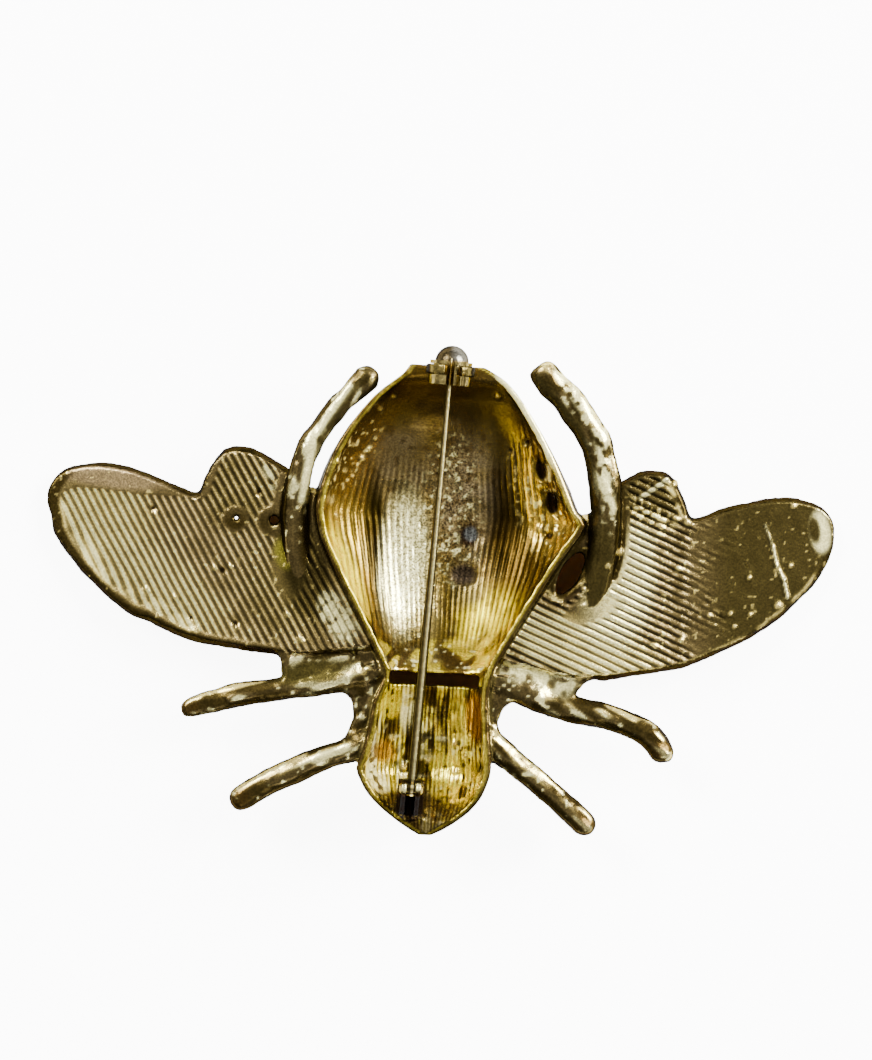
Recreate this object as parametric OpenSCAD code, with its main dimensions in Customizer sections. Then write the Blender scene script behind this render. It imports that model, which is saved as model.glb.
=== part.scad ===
// Insect brooch: a hollow cast bee with spread wings, a hinged pin stem and a turning catch.
// It lies on its domed front, and the open back faces up.
// +Y points to the tail, +X to the right wing seen from the back, +Z out of the back.

/* [Body] */
// Length of the abdomen from the waist to the end of its rim
abdomen_l = 25; // [22:0.5:28]
// Width that the abdomen's rim shares are taken from
abdomen_w = 22; // [20:0.5:24]
// Length of the thorax and head from the waist to the brow
thorax_l = 13; // [11.5:0.5:15]
// Width that the thorax's rim shares are taken from
thorax_w = 10.2; // [9:0.2:12]
// Height of the body from its domed front to its rim
body_d = 7; // [6:0.25:8]
// Thickness of the cast metal under the hollow
wall = 1.1; // [0.8:0.1:1.4]
// Width of the body's rim
rim_t = 0.6; // [0.5:0.05:0.9]
// Radius of the bead at the tail
tail_bead_r = 1.4; // [1.1:0.1:1.7]

/* [Wings] */
// Distance from the body's axis to a wing's tip
wing_reach = 32.3; // [29:0.5:36]
// Breadth that the wing outline's shares are taken from
wing_b = 17.2; // [15:0.5:19]
// Thickness of a wing at its root
wing_t = 1.5; // [1.2:0.1:1.8]
// Height of a wing's back face at its root
wing_root_z = 5.4; // [4.8:0.1:6]
// Radius of the hole through the left wing
wing_hole_r = 0.4; // [0.3:0.05:0.5]
// Radius of the smaller hole beside it
wing_pinhole_r = 0.22; // [0.15:0.01:0.3]

/* [Legs] */
// Thickness of the hind legs
hind_t = 2.2; // [1.8:0.1:2.6]
// Thickness of the middle legs
mid_t = 2.0; // [1.6:0.1:2.4]
// Thickness of the front legs
front_t = 2.0; // [1.6:0.1:2.4]
// Distance from the body's axis to a middle foot
mid_reach = 20; // [17:0.5:23]
// Distance from the body's axis to a front foot
front_reach = 15; // [13:0.5:17]

/* [Waist slot and holes] */
// Length of the slot across the waist
slot_l = 7.3; // [6:0.1:7.6]
// Width of that slot
slot_w = 1.1; // [0.8:0.1:1.4]
// Radius of the round mark in the abdomen
mark_r = 0.72; // [0.5:0.02:0.9]
// Depth of the round marks
mark_d = 0.25; // [0.15:0.05:0.35]
// Radius of the uneven holes in the abdomen's side
side_hole_r = 1; // [0.7:0.05:1.2]

/* [Pin] */
// Height of the pin's axis above the body's rim
pin_lift = 1.8; // [1.7:0.1:2.6]
// Diameter of the stem's straight stretch
stem_d = 0.8; // [0.7:0.02:1]
// Diameter of the stem inside the catch
stem_tip_d = 0.34; // [0.26:0.02:0.42]
// Length of the stem's straight stretch
stem_straight_l = 8; // [5:0.5:11]
// Turn of the pin across the body
pin_turn = 2.4; // [1:0.2:4]

/* [Hinge] */
// Thickness of one hinge ear
ear_t = 0.42; // [0.35:0.01:0.6]
// Radius of an ear's round top
ear_r = 0.72; // [0.65:0.01:0.9]
// Thickness of the stem's flat eye
eye_t = 0.64; // [0.5:0.02:0.8]
// Radius of the rivet
rivet_r = 0.3; // [0.24:0.01:0.34]
// Gap on each side of the eye and round the rivet
hinge_gap = 0.05; // [0.03:0.01:0.08]

/* [Catch] */
// Outer radius of the catch's ring
ring_r = 2; // [1.8:0.05:2.3]
// Width of that ring along the pin
ring_w = 0.8; // [0.6:0.05:1.1]
// Radius of the ring's bore
ring_bore_r = 1.45; // [1.3:0.05:1.6]
// Width of the ring's open slot
ring_slot_w = 1.3; // [1.1:0.05:1.5]
// Width of the turning barrel's slot
barrel_slot_w = 0.62; // [0.5:0.02:0.75]
// Gap between the barrel and the ring
barrel_gap = 0.05; // [0.03:0.01:0.08]

/* [Hidden] */

$fn = 48;

// Length of a cut that has to clear what it cuts
clear = 20;
// How far one piece of metal runs into the next
sink = 0.2;

// Places along the body
waist_y = -6.9;
tail_y = waist_y + abdomen_l;
front_y = waist_y - 0.45 * thorax_l;

// The bowl's section: 1 is round, less is squarer
bowl_power = 0.8;
bowl_steps = 14;
// The least share of the half width that stays open, and the skin cut off the rim
least_open = 0.3;
rim_skin = 0.01;
// How far the cut for the hollow goes on above the rim
hollow_lift = 3;

// The bead at the tail
bead_x = 0.2;
bead_out = 0.55;
bead_z = 0.76 * body_d;
tail_rim_z = 0.96 * body_d;

// Wings, legs and the webs between them
wing_y = waist_y + 0.352 * abdomen_l;
wing_steps = 6;
wing_edge = 0.45;
leg_sides = 10;
leg_flatness = 0.85;
web_z = 0.53 * body_d;
web_t = 1;
left_web = [[0.635, 0.06], [0.20, 0.10], [0.20, -0.05], [0.60, -0.08]];
right_web = [[0.64, 0.03], [0.20, 0.10], [0.20, -0.06], [0.54, -0.11]];
// The flat metal along the thorax between the middle and the front leg
left_shoulder = [[0.16, 0.00], [0.38, -0.06], [0.325, -0.12], [0.315, -0.20], [0.36, -0.285], [0.16, -0.34]];
right_shoulder = [[0.16, 0.00], [0.36, -0.06], [0.290, -0.12], [0.275, -0.18], [0.30, -0.245], [0.16, -0.30]];

// The slot, the holes and the marks
slot_x = 0.1;
slot_back = 0.3;
side_hole_x = 0.6;
side_hole_slope = 112;
side_hole_l = 5.2;
upper_side_hole_z = 0.66 * body_d;
lower_side_hole_z = 0.695 * body_d;
upper_side_hole_y = waist_y + 0.685 * abdomen_l;
lower_side_hole_y = waist_y + 0.580 * abdomen_l;
upper_side_hole = [[-0.65, -0.8], [0.15, -1.0], [0.60, -0.4], [0.50, 0.5], [0.10, 1.0], [-0.50, 0.8]];
lower_side_hole = [[-0.75, -0.7], [0.10, -1.1], [0.75, -0.5], [0.55, 0.2], [0.80, 0.9], [0.10, 1.1], [-0.70, 0.6]];
mark_x = 0.227 * abdomen_w / 2;
mark_rise = 0.2;
lower_mark_shift = 0.4;
lower_mark_stretch = 1.4;
upper_mark_y = waist_y + 0.467 * abdomen_l;
lower_mark_y = waist_y + 0.333 * abdomen_l;
wing_hole_x = 0.421;
wing_pinhole_x = 0.517;
wing_hole_y = wing_y + 0.185 * wing_b;
root_gap_x = 0.975;
root_gap_y = waist_y + 0.357 * abdomen_l;
root_gap_turn = -28;
root_gap_w = 0.8;
root_gap_l = 2.0;

// The pin's line, from the hinge in the head to the catch at the tail
pin_z = body_d + pin_lift;
hinge_x = -1.3;
hinge_y = waist_y - 0.71 * thorax_l;
catch_inset = 0.15;
catch_s = (tail_y - catch_inset - hinge_y) / cos(pin_turn);

// The hinge: the room between the ears, their foot and the stem's eye
eye_room = eye_t + 2 * hinge_gap;
eye_r = ear_r - 0.1;
ear_h = pin_z - 0.9 * body_d;
ear_l = 2.3;
ear_back = 1.6;
ear_shoulder = 129;
base_w = 2.2;
base_l = 3.2;
base_t = 0.25;
base_sunk = 1.6;
rivet_gap = 0.02;
rivet_head_r = 0.48;
rivet_head_t = 0.16;

// The stem: its neck, its straight stretch, its taper and its point
neck_h = 0.65 * stem_d;
stem_s = ear_r + 0.1;
point_r = 0.04;
point_l = 2;
taper_l = catch_s - stem_straight_l - point_l / 2;

// The catch
ring_slot_x = 0.2;
foot_w = 2;
foot_l = 0.55;
collar_w = 0.75;
collar_r = ring_bore_r + 0.27;
back_collar_w = 0.28;
barrel_hole_r = stem_tip_d / 2 + 0.25;
lever_w = 0.75;
lever_l = collar_r + 0.88;
lever_lean = 32;

// Rows of the abdomen's rim and bowl, from the tail to the waist.
// Columns: along (of abdomen_l), left and right (of half abdomen_w), rim height and
// belly height (of body_d), bulge (of the half width), open (0 is solid, 1 is hollow)
abdomen_rows = [
    [1.010, 0.290, 0.265, 0.960, 0.640, 0.00, 0.00],
    [0.980, 0.335, 0.390, 0.965, 0.540, 0.00, 0.00],
    [0.950, 0.415, 0.470, 0.975, 0.440, 0.05, 0.30],
    [0.900, 0.545, 0.565, 0.985, 0.330, 0.10, 0.85],
    [0.800, 0.715, 0.715, 1.000, 0.165, 0.18, 1.00],
    [0.700, 0.830, 0.840, 1.000, 0.070, 0.22, 1.00],
    [0.600, 0.900, 0.945, 1.000, 0.020, 0.24, 1.00],
    [0.555, 0.920, 0.990, 1.000, 0.004, 0.24, 1.00],
    [0.515, 0.925, 1.060, 1.000, 0.000, 0.24, 1.00],
    [0.450, 0.895, 0.980, 0.995, 0.002, 0.25, 1.00],
    [0.400, 0.845, 0.905, 0.990, 0.010, 0.30, 1.00],
    [0.300, 0.730, 0.775, 0.980, 0.045, 0.38, 1.00],
    [0.200, 0.600, 0.650, 0.965, 0.120, 0.36, 1.00],
    [0.100, 0.475, 0.530, 0.945, 0.240, 0.22, 0.90],
    [0.040, 0.405, 0.460, 0.925, 0.350, 0.12, 0.62]
];
// Rows of the thorax and head, from the waist to the brow, with the same columns
thorax_rows = [
    [0.000, 0.770, 0.930, 0.915, 0.400, 0.03, 0.45],
    [0.070, 0.830, 0.905, 0.915, 0.350, 0.03, 0.62],
    [0.180, 0.930, 0.900, 0.925, 0.200, 0.06, 0.90],
    [0.360, 0.985, 0.945, 0.940, 0.060, 0.08, 1.00],
    [0.520, 1.080, 1.000, 0.940, 0.010, 0.08, 1.00],
    [0.600, 1.150, 0.995, 0.935, 0.005, 0.06, 1.00],
    [0.680, 1.070, 0.940, 0.925, 0.030, 0.05, 0.95],
    [0.760, 0.940, 0.850, 0.915, 0.090, 0.04, 0.75],
    [0.840, 0.730, 0.690, 0.900, 0.190, 0.03, 0.40],
    [0.910, 0.490, 0.480, 0.880, 0.300, 0.02, 0.00],
    [0.965, 0.270, 0.270, 0.860, 0.410, 0.00, 0.00],
    [1.000, 0.100, 0.090, 0.840, 0.520, 0.00, 0.00]
];

// Rows of a wing from its root to its tip.
// Columns: out (of wing_reach), top edge and bottom edge (of wing_b, from the wing's own line),
// drop (of the height at the root), thickness (of wing_t)
left_wing_rows = [
    [0.100, 0.280, -0.400, 0.00, 1.00],
    [0.300, 0.340, -0.460, 0.03, 1.00],
    [0.365, 0.390, -0.466, 0.07, 1.00],
    [0.400, 0.445, -0.464, 0.10, 1.00],
    [0.460, 0.512, -0.458, 0.16, 0.98],
    [0.515, 0.532, -0.446, 0.22, 0.96],
    [0.560, 0.510, -0.436, 0.27, 0.94],
    [0.592, 0.435, -0.426, 0.31, 0.93],
    [0.610, 0.330, -0.418, 0.33, 0.92],
    [0.625, 0.300, -0.412, 0.35, 0.91],
    [0.700, 0.352, -0.362, 0.44, 0.88],
    [0.790, 0.408, -0.270, 0.55, 0.84],
    [0.870, 0.422, -0.155, 0.65, 0.80],
    [0.930, 0.408, -0.040, 0.73, 0.76],
    [0.970, 0.368, 0.062, 0.78, 0.72],
    [0.990, 0.325, 0.140, 0.80, 0.68],
    [1.000, 0.265, 0.205, 0.81, 0.60]
];
right_wing_rows = [
    [0.100, 0.280, -0.420, 0.00, 1.00],
    [0.300, 0.290, -0.500, 0.03, 1.00],
    [0.370, 0.300, -0.505, 0.07, 1.00],
    [0.430, 0.430, -0.500, 0.13, 1.00],
    [0.470, 0.490, -0.488, 0.17, 0.98],
    [0.510, 0.520, -0.474, 0.21, 0.96],
    [0.565, 0.518, -0.454, 0.27, 0.94],
    [0.596, 0.455, -0.440, 0.31, 0.93],
    [0.618, 0.360, -0.430, 0.33, 0.92],
    [0.636, 0.305, -0.420, 0.36, 0.91],
    [0.700, 0.352, -0.362, 0.44, 0.88],
    [0.800, 0.412, -0.268, 0.56, 0.84],
    [0.870, 0.428, -0.162, 0.65, 0.80],
    [0.930, 0.418, -0.058, 0.73, 0.76],
    [0.970, 0.388, 0.042, 0.78, 0.72],
    [0.992, 0.340, 0.135, 0.80, 0.68],
    [1.000, 0.280, 0.205, 0.81, 0.60]
];

// Rows of the legs from the root to the foot.
// Columns: across and along (of the sizes each leg is given), height (of body_d),
// thickness (of the leg's own)
left_hind_rows = [
    [0.960, 0.180, 0.63, 0.60],
    [1.020, 0.300, 0.66, 0.86],
    [1.055, 0.400, 0.70, 1.02],
    [1.090, 0.500, 0.74, 1.05],
    [1.070, 0.620, 0.80, 0.95],
    [0.980, 0.750, 0.84, 0.90],
    [0.795, 0.865, 0.87, 0.90],
    [0.640, 0.942, 0.88, 1.00],
    [0.585, 0.968, 0.88, 0.90],
    [0.555, 0.985, 0.88, 0.45]
];
right_hind_rows = [
    [1.060, 0.170, 0.63, 0.60],
    [1.150, 0.280, 0.65, 0.90],
    [1.200, 0.380, 0.69, 1.12],
    [1.225, 0.480, 0.72, 1.25],
    [1.200, 0.640, 0.80, 1.28],
    [1.105, 0.790, 0.85, 1.25],
    [0.930, 0.900, 0.88, 1.22],
    [0.715, 0.995, 0.89, 1.20],
    [0.668, 1.014, 0.89, 1.10],
    [0.648, 1.024, 0.89, 0.80]
];
left_mid_rows = [
    [0.18, 0.018, 0.60, 1.05],
    [0.34, -0.030, 0.60, 1.05],
    [0.50, -0.067, 0.58, 1.02],
    [0.62, -0.088, 0.57, 1.00],
    [0.82, -0.128, 0.56, 1.02],
    [0.96, -0.176, 0.55, 0.92],
    [1.005, -0.194, 0.55, 0.74],
    [1.022, -0.200, 0.55, 0.35]
];
right_mid_rows = [
    [0.18, 0.012, 0.60, 1.10],
    [0.36, -0.034, 0.60, 1.30],
    [0.50, -0.096, 0.58, 1.20],
    [0.68, -0.124, 0.57, 1.14],
    [0.84, -0.170, 0.56, 1.10],
    [0.925, -0.226, 0.55, 1.10],
    [0.960, -0.282, 0.55, 0.98],
    [0.966, -0.308, 0.55, 0.45]
];
left_front_rows = [
    [0.22, 0.070, 0.62, 1.10],
    [0.40, -0.020, 0.62, 1.16],
    [0.64, -0.122, 0.60, 1.10],
    [0.86, -0.236, 0.58, 1.16],
    [0.99, -0.316, 0.57, 1.14],
    [1.045, -0.350, 0.57, 0.94],
    [1.070, -0.364, 0.57, 0.42]
];
right_front_rows = [
    [0.22, 0.120, 0.62, 1.10],
    [0.34, 0.040, 0.62, 1.22],
    [0.485, -0.078, 0.60, 1.14],
    [0.67, -0.218, 0.58, 1.08],
    [0.82, -0.334, 0.57, 1.15],
    [0.885, -0.388, 0.57, 1.04],
    [0.912, -0.410, 0.57, 0.50]
];

// A point on a smooth curve through all rows, with u counted in rows
function through(rows, u) =
    let (
        last = len(rows) - 1,
        i = min(floor(u), last - 1),
        f = u - i,
        a = rows[max(i - 1, 0)],
        b = rows[i],
        c = rows[i + 1],
        d = rows[min(i + 2, last)]
    )
    0.5 * (2 * b + (c - a) * f + (2 * a - 5 * b + 4 * c - d) * f * f
        + (3 * b - a - 3 * c + d) * f * f * f);

// The rows of a table with steps - 1 more between each two
function smooth_rows(rows, steps) =
    [for (i = [0 : (len(rows) - 1) * steps]) through(rows, i / steps)];

function reversed(list) = [for (i = [len(list) - 1 : -1 : 0]) list[i]];

// A closed solid through rings of equally many points, each ring seen clockwise from the first
module loft(rings) {
    n = len(rings[0]);
    last = len(rings) - 1;
    sides = [
        for (i = [0 : last - 1], j = [0 : n - 1])
            let (a = i * n + j, b = i * n + (j + 1) % n)
            each [[a, b, b + n], [a, b + n, a + n]]
    ];
    first_cap = [[for (j = [n - 1 : -1 : 0]) j]];
    last_cap = [[for (j = [0 : n - 1]) last * n + j]];
    polyhedron(points = [for (r = rings) each r], faces = concat(sides, first_cap, last_cap));
}

// A round bar along rows of x, y, z and radius
module bar(rows, sides, flat) {
    last = len(rows) - 1;
    rings = [
        for (i = [0 : last])
            let (
                p = [rows[i][0], rows[i][1], rows[i][2]],
                q = rows[min(i + 1, last)],
                o = rows[max(i - 1, 0)],
                way = [q[0] - o[0], q[1] - o[1], q[2] - o[2]],
                along = way / norm(way),
                side = cross(along, [0, 0, 1]) / norm(cross(along, [0, 0, 1])),
                up = cross(side, along)
            )
            [for (j = [0 : sides - 1])
                let (t = 360 * j / sides)
                p + rows[i][3] * (cos(t) * side + flat * sin(t) * up)]
    ];
    loft(rings);
}

// Sections of the body in millimetres: y, left, right, rim, belly, bulge, open
body_sections = smooth_rows(concat(
    [for (r = abdomen_rows)
        [waist_y + r[0] * abdomen_l, r[1] * abdomen_w / 2, r[2] * abdomen_w / 2,
            r[3] * body_d, r[4] * body_d, r[5], r[6]]],
    [for (r = thorax_rows)
        [waist_y - r[0] * thorax_l, r[1] * thorax_w / 2, r[2] * thorax_w / 2,
            r[3] * body_d, r[4] * body_d, r[5], r[6]]]
), 2);

// One section of the domed body, closed across its rim
function dome_ring(s) =
    [for (j = [0 : bowl_steps])
        let (
            t = 180 * j / bowl_steps,
            half = t < 90 ? s[1] : s[2],
            swell = 1 + s[5] * pow(sin(2 * t), 2)
        )
        [-cos(t) * half * swell, s[0], s[3] - (s[3] - s[4]) * pow(sin(t), bowl_power)]];

// One section of the space inside it, closed above the rim
function hollow_ring(s) =
    let (
        open = min(1, max(0, s[6])),
        depth = open * max(0, s[3] - s[4] - wall),
        left = max(s[1] - rim_t, least_open * s[1]),
        right = max(s[2] - rim_t, least_open * s[2])
    )
    concat(
        [for (j = [0 : bowl_steps])
            let (t = 180 * j / bowl_steps, half = t < 90 ? left : right)
            [-cos(t) * half, s[0], s[3] + rim_skin - depth * pow(sin(t), bowl_power)]],
        [[right, s[0], s[3] + hollow_lift], [-left, s[0], s[3] + hollow_lift]]
    );

module dome() {
    loft(reversed([for (s = body_sections) dome_ring(s)]));
}

module hollow() {
    loft(reversed([for (s = body_sections) hollow_ring(s)]));
}

// One section of a wing, as wide as its edges and as thick as its row says
function wing_ring(r, side) =
    let (
        x = side * r[0] * wing_reach,
        high = wing_y + r[1] * wing_b,
        low = wing_y + r[2] * wing_b,
        top = wing_root_z * (1 - r[3]),
        t = r[4] * wing_t,
        edge = min(wing_edge * t, wing_edge * (high - low) / 2),
        back = [for (j = [0 : wing_steps])
            [x, low + edge + (high - low - 2 * edge) * j / wing_steps, top]],
        front = [for (j = [wing_steps : -1 : 0])
            [x, low + edge + (high - low - 2 * edge) * j / wing_steps, top - t]]
    )
    concat(back, [[x, high, top - 0.5 * t]], front, [[x, low, top - 0.5 * t]]);

module wing(rows, side) {
    rings = [for (r = smooth_rows(rows, 2)) wing_ring(r, side)];
    loft(side > 0 ? rings : reversed(rings));
}

// A leg along its rows, on the side that is given
module leg(rows, side, across, along, start_y, thick) {
    path = [for (r = smooth_rows(rows, 2))
        [side * r[0] * across, start_y + r[1] * along, r[2] * body_d, r[3] * thick / 2]];
    bar(path, leg_sides, leg_flatness);
}

module legs() {
    leg(left_hind_rows, -1, abdomen_w / 2, abdomen_l, waist_y, hind_t);
    leg(right_hind_rows, 1, abdomen_w / 2, abdomen_l, waist_y, hind_t);
    leg(left_mid_rows, -1, mid_reach, mid_reach, waist_y, mid_t);
    leg(right_mid_rows, 1, mid_reach, mid_reach, waist_y, mid_t);
    leg(left_front_rows, -1, front_reach, front_reach, front_y, front_t);
    leg(right_front_rows, 1, front_reach, front_reach, front_y, front_t);
}

// The flat metal between a wing and the middle leg
module web(outline, side) {
    translate([0, waist_y, web_z])
    linear_extrude(web_t)
    polygon([for (p = outline) [side * p[0] * mid_reach, p[1] * mid_reach]]);
}

// An uneven hole through the abdomen's side wall, pushed outwards and down
module side_hole(y, z, outline) {
    translate([side_hole_x * abdomen_w / 2, y, z])
    rotate([0, side_hole_slope, 0])
    linear_extrude(side_hole_l)
    polygon(side_hole_r * outline);
}

module round_mark(x, y, stretch) {
    translate([x, y, wall + mark_rise - mark_d])
    scale([stretch, 1, 1])
    cylinder(h = body_d, r = mark_r, $fn = 24);
}

module wing_hole(x, y, r) {
    translate([x, y, -sink])
    cylinder(h = clear, r = r, $fn = 16);
}

// All that was poured in one mould, at its full width across the wing tips
module cast_metal() {
    resize([2 * wing_reach, 0, 0])
    difference() {
        union() {
            dome();
            wing(left_wing_rows, -1);
            wing(right_wing_rows, 1);
            legs();
            web(left_web, -1);
            web(right_web, 1);
            web(left_shoulder, -1);
            web(right_shoulder, 1);
            translate([bead_x, tail_y + bead_out, bead_z])
            sphere(r = tail_bead_r, $fn = 24);
        }
        hollow();
        translate([slot_x - slot_l / 2, waist_y - slot_back - slot_w / 2, -sink])
        cube([slot_l, slot_w, clear]);
        side_hole(upper_side_hole_y, upper_side_hole_z, upper_side_hole);
        side_hole(lower_side_hole_y, lower_side_hole_z, lower_side_hole);
        round_mark(mark_x, upper_mark_y, 1);
        round_mark(mark_x - lower_mark_shift, lower_mark_y, lower_mark_stretch);
        wing_hole(-wing_hole_x * wing_reach, wing_hole_y, wing_hole_r);
        wing_hole(-wing_pinhole_x * wing_reach, wing_hole_y, wing_pinhole_r);
        translate([root_gap_x * abdomen_w / 2, root_gap_y, -sink])
        rotate([0, 0, root_gap_turn])
        scale([root_gap_w, root_gap_l, 1])
        cylinder(h = clear, r = 1, $fn = 20);
    }
}

// Puts its children at the hinge, with +Y along the stem to the catch
module at_pin() {
    translate([hinge_x, hinge_y, pin_z])
    rotate([0, 0, -pin_turn])
    children();
}

// A round bar of the hinge or catch that lies along the pin
module along_pin(from, l, r) {
    translate([0, from, 0])
    rotate([-90, 0, 0])
    cylinder(h = l, r = r);
}

// The side view of an ear: round at the rivet, then down and back to its foot
module ear_outline() {
    circle(r = ear_r);
    polygon([
        [ear_r, 0], [ear_r, -ear_h], [-ear_l, -ear_h],
        [-ear_l, -ear_back], [ear_r * cos(ear_shoulder), ear_r * sin(ear_shoulder)]
    ]);
}

// One ear, with x as its inner face and the ear on the side of its thickness
module ear(x) {
    translate([x, 0, 0])
    rotate([90, 0, 90])
    linear_extrude(ear_t)
    ear_outline();
}

module hinge_bracket() {
    at_pin()
    difference() {
        union() {
            ear(eye_room / 2);
            ear(-eye_room / 2 - ear_t);
            translate([-base_w / 2, -base_l + ear_r, -ear_h - base_sunk])
            cube([base_w, base_l, base_sunk + base_t]);
        }
        translate([-base_w, 0, 0])
        rotate([0, 90, 0])
        cylinder(h = 2 * base_w, r = rivet_r + hinge_gap);
    }
}

module catch_ring() {
    at_pin()
    difference() {
        union() {
            along_pin(catch_s - ring_w / 2, ring_w, ring_r);
            translate([-foot_w / 2, catch_s - ring_w / 2, tail_rim_z - sink - pin_z])
            cube([foot_w, foot_l, pin_z - tail_rim_z + sink - ring_bore_r]);
        }
        along_pin(catch_s - ring_w, 2 * ring_w, ring_bore_r);
        translate([ring_slot_x - ring_slot_w / 2, catch_s - ring_w, 0])
        cube([ring_slot_w, 2 * ring_w, 2 * ring_r]);
    }
}

module casting() {
    color("goldenrod")
    union() {
        cast_metal();
        hinge_bracket();
        catch_ring();
    }
}

module pin_stem() {
    color("darkkhaki")
    at_pin()
    difference() {
        union() {
            translate([-eye_t / 2, 0, 0])
            rotate([0, 90, 0])
            cylinder(h = eye_t, r = eye_r);
            translate([-eye_t / 2, 0, -neck_h / 2])
            cube([eye_t, stem_s + sink, neck_h]);
            along_pin(stem_s, stem_straight_l - stem_s, stem_d / 2);
            translate([0, stem_straight_l, 0])
            rotate([-90, 0, 0])
            cylinder(h = taper_l, r1 = stem_d / 2, r2 = stem_tip_d / 2);
            translate([0, stem_straight_l + taper_l, 0])
            rotate([-90, 0, 0])
            cylinder(h = point_l, r1 = stem_tip_d / 2, r2 = point_r);
        }
        translate([-eye_t, 0, 0])
        rotate([0, 90, 0])
        cylinder(h = 2 * eye_t, r = rivet_r + hinge_gap);
    }
}

module hinge_rivet() {
    shank_l = eye_room + 2 * ear_t + 2 * rivet_gap;
    color("olive")
    at_pin()
    rotate([0, 90, 0]) {
        translate([0, 0, -shank_l / 2])
        cylinder(h = shank_l, r = rivet_r);
        translate([0, 0, shank_l / 2])
        cylinder(h = rivet_head_t, r1 = rivet_head_r, r2 = rivet_r);
        translate([0, 0, -shank_l / 2 - rivet_head_t])
        cylinder(h = rivet_head_t, r1 = rivet_r, r2 = rivet_head_r);
    }
}

// The barrel turns in the ring; at rest its slot lines up with the ring's
module catch_barrel() {
    front = catch_s - ring_w / 2 - barrel_gap;
    back = catch_s + ring_w / 2 + barrel_gap;
    color("gold")
    at_pin()
    difference() {
        union() {
            along_pin(front - collar_w, collar_w, collar_r);
            along_pin(front - sink, back - front + 2 * sink, ring_bore_r - barrel_gap);
            along_pin(back, back_collar_w, collar_r);
            translate([0, front - collar_w, 0])
            rotate([0, lever_lean, 0]) {
                translate([-lever_w / 2, 0, 0])
                cube([lever_w, collar_w, lever_l - lever_w / 2]);
                translate([0, 0, lever_l - lever_w / 2])
                rotate([-90, 0, 0])
                cylinder(h = collar_w, r = lever_w / 2);
            }
        }
        along_pin(front - 2 * collar_w, catch_s, barrel_hole_r);
        translate([-barrel_slot_w / 2, front - 2 * collar_w, 0])
        cube([barrel_slot_w, catch_s, ring_r + lever_l]);
    }
}

casting();
pin_stem();
hinge_rivet();
catch_barrel();
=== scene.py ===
# %% [markdown]
# # A gilt bee brooch, seen from its open back
# The brooch is one pour of soft white metal, gilt, with a hollow body and a pin across it.
# Its back still shows how it was made: ruled grooves from the mould, pits, specks and tarnish.
# This notebook takes the measured model as its frame and gives it that surface and those finishes.

# %% Load the measured frame
import bpy
import bmesh
import math
import numpy as np
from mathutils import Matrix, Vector, kdtree


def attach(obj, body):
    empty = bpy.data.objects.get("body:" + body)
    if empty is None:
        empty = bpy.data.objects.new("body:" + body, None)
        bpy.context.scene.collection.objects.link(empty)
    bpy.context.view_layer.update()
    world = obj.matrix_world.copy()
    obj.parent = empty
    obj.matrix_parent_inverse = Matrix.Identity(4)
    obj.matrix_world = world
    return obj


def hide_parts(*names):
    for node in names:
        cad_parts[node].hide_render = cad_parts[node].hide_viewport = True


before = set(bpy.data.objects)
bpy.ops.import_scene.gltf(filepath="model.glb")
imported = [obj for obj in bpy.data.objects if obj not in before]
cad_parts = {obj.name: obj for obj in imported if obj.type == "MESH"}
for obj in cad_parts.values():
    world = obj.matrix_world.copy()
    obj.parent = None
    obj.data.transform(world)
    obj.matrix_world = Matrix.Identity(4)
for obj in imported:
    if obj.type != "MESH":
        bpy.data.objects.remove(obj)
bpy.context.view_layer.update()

# %% [markdown]
# ## The camera
# The photograph was taken from straight above, from far enough that nothing shrinks with depth.
# A long lens far away gives that look. The body leans three degrees clockwise in the picture,
# so the camera is rolled by that angle and the brooch stays square in its own frame. A pixel
# of the photograph is PIXEL millimetres wide.

# %% Place the camera
MM = 0.001
PIXEL = 0.0815
ROLL = math.radians(3)
PHOTO_CENTRE = (441.5, 592)
PHOTO_MIDDLE = (436, 530)
PHOTO_ROWS = 1060
BODY_CENTRE = (0.3306, -0.0643)
SENSOR = 24
CAMERA_AWAY = 800
FOCUS_HEIGHT = 5


def place_of(px, py):
    """The place on the brooch, in millimetres, that shows at a pixel of the photograph."""
    u = (px - PHOTO_CENTRE[0]) * PIXEL
    v = (PHOTO_CENTRE[1] - py) * PIXEL
    x = u * math.cos(ROLL) - v * math.sin(ROLL) + BODY_CENTRE[0]
    y = u * math.sin(ROLL) + v * math.cos(ROLL) + BODY_CENTRE[1]
    return x, y


def add_object(name, data):
    """A new object in the scene that shows a mesh, a lamp or a camera."""
    made = bpy.data.objects.new(name, data)
    bpy.context.scene.collection.objects.link(made)
    return made


camera_data = bpy.data.cameras.new("copy_stand_camera")
camera_data.sensor_fit = "VERTICAL"
camera_data.sensor_height = SENSOR
camera_data.lens = SENSOR * CAMERA_AWAY / (PHOTO_ROWS * PIXEL)
camera = add_object("copy_stand_camera", camera_data)
middle = place_of(*PHOTO_MIDDLE)
camera.location = (middle[0] * MM, middle[1] * MM, (CAMERA_AWAY + FOCUS_HEIGHT) * MM)
camera.rotation_euler = (0, 0, ROLL)
bpy.context.scene.camera = camera
print("camera over", [round(c, 2) for c in middle], "mm")

# %% [markdown]
# ## From the plain casting to a mesh that can hold detail
# The measured casting has large flat facets, and grooves half a millimetre apart need points
# much closer than that. Subdividing would keep the long thin triangles, so a voxel remesh lays
# an even net of small faces over the same shape. It works in millimetres, because very small
# numbers make it coarse.

# %% Copy, weld and remesh the casting
VOXEL = 0.135
WELD = 1e-7


def apply_modifiers(obj):
    """Replaces the object's mesh by the one that its modifiers make."""
    graph = bpy.context.evaluated_depsgraph_get()
    made = bpy.data.meshes.new_from_object(obj.evaluated_get(graph))
    obj.modifiers.clear()
    obj.data = made


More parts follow.
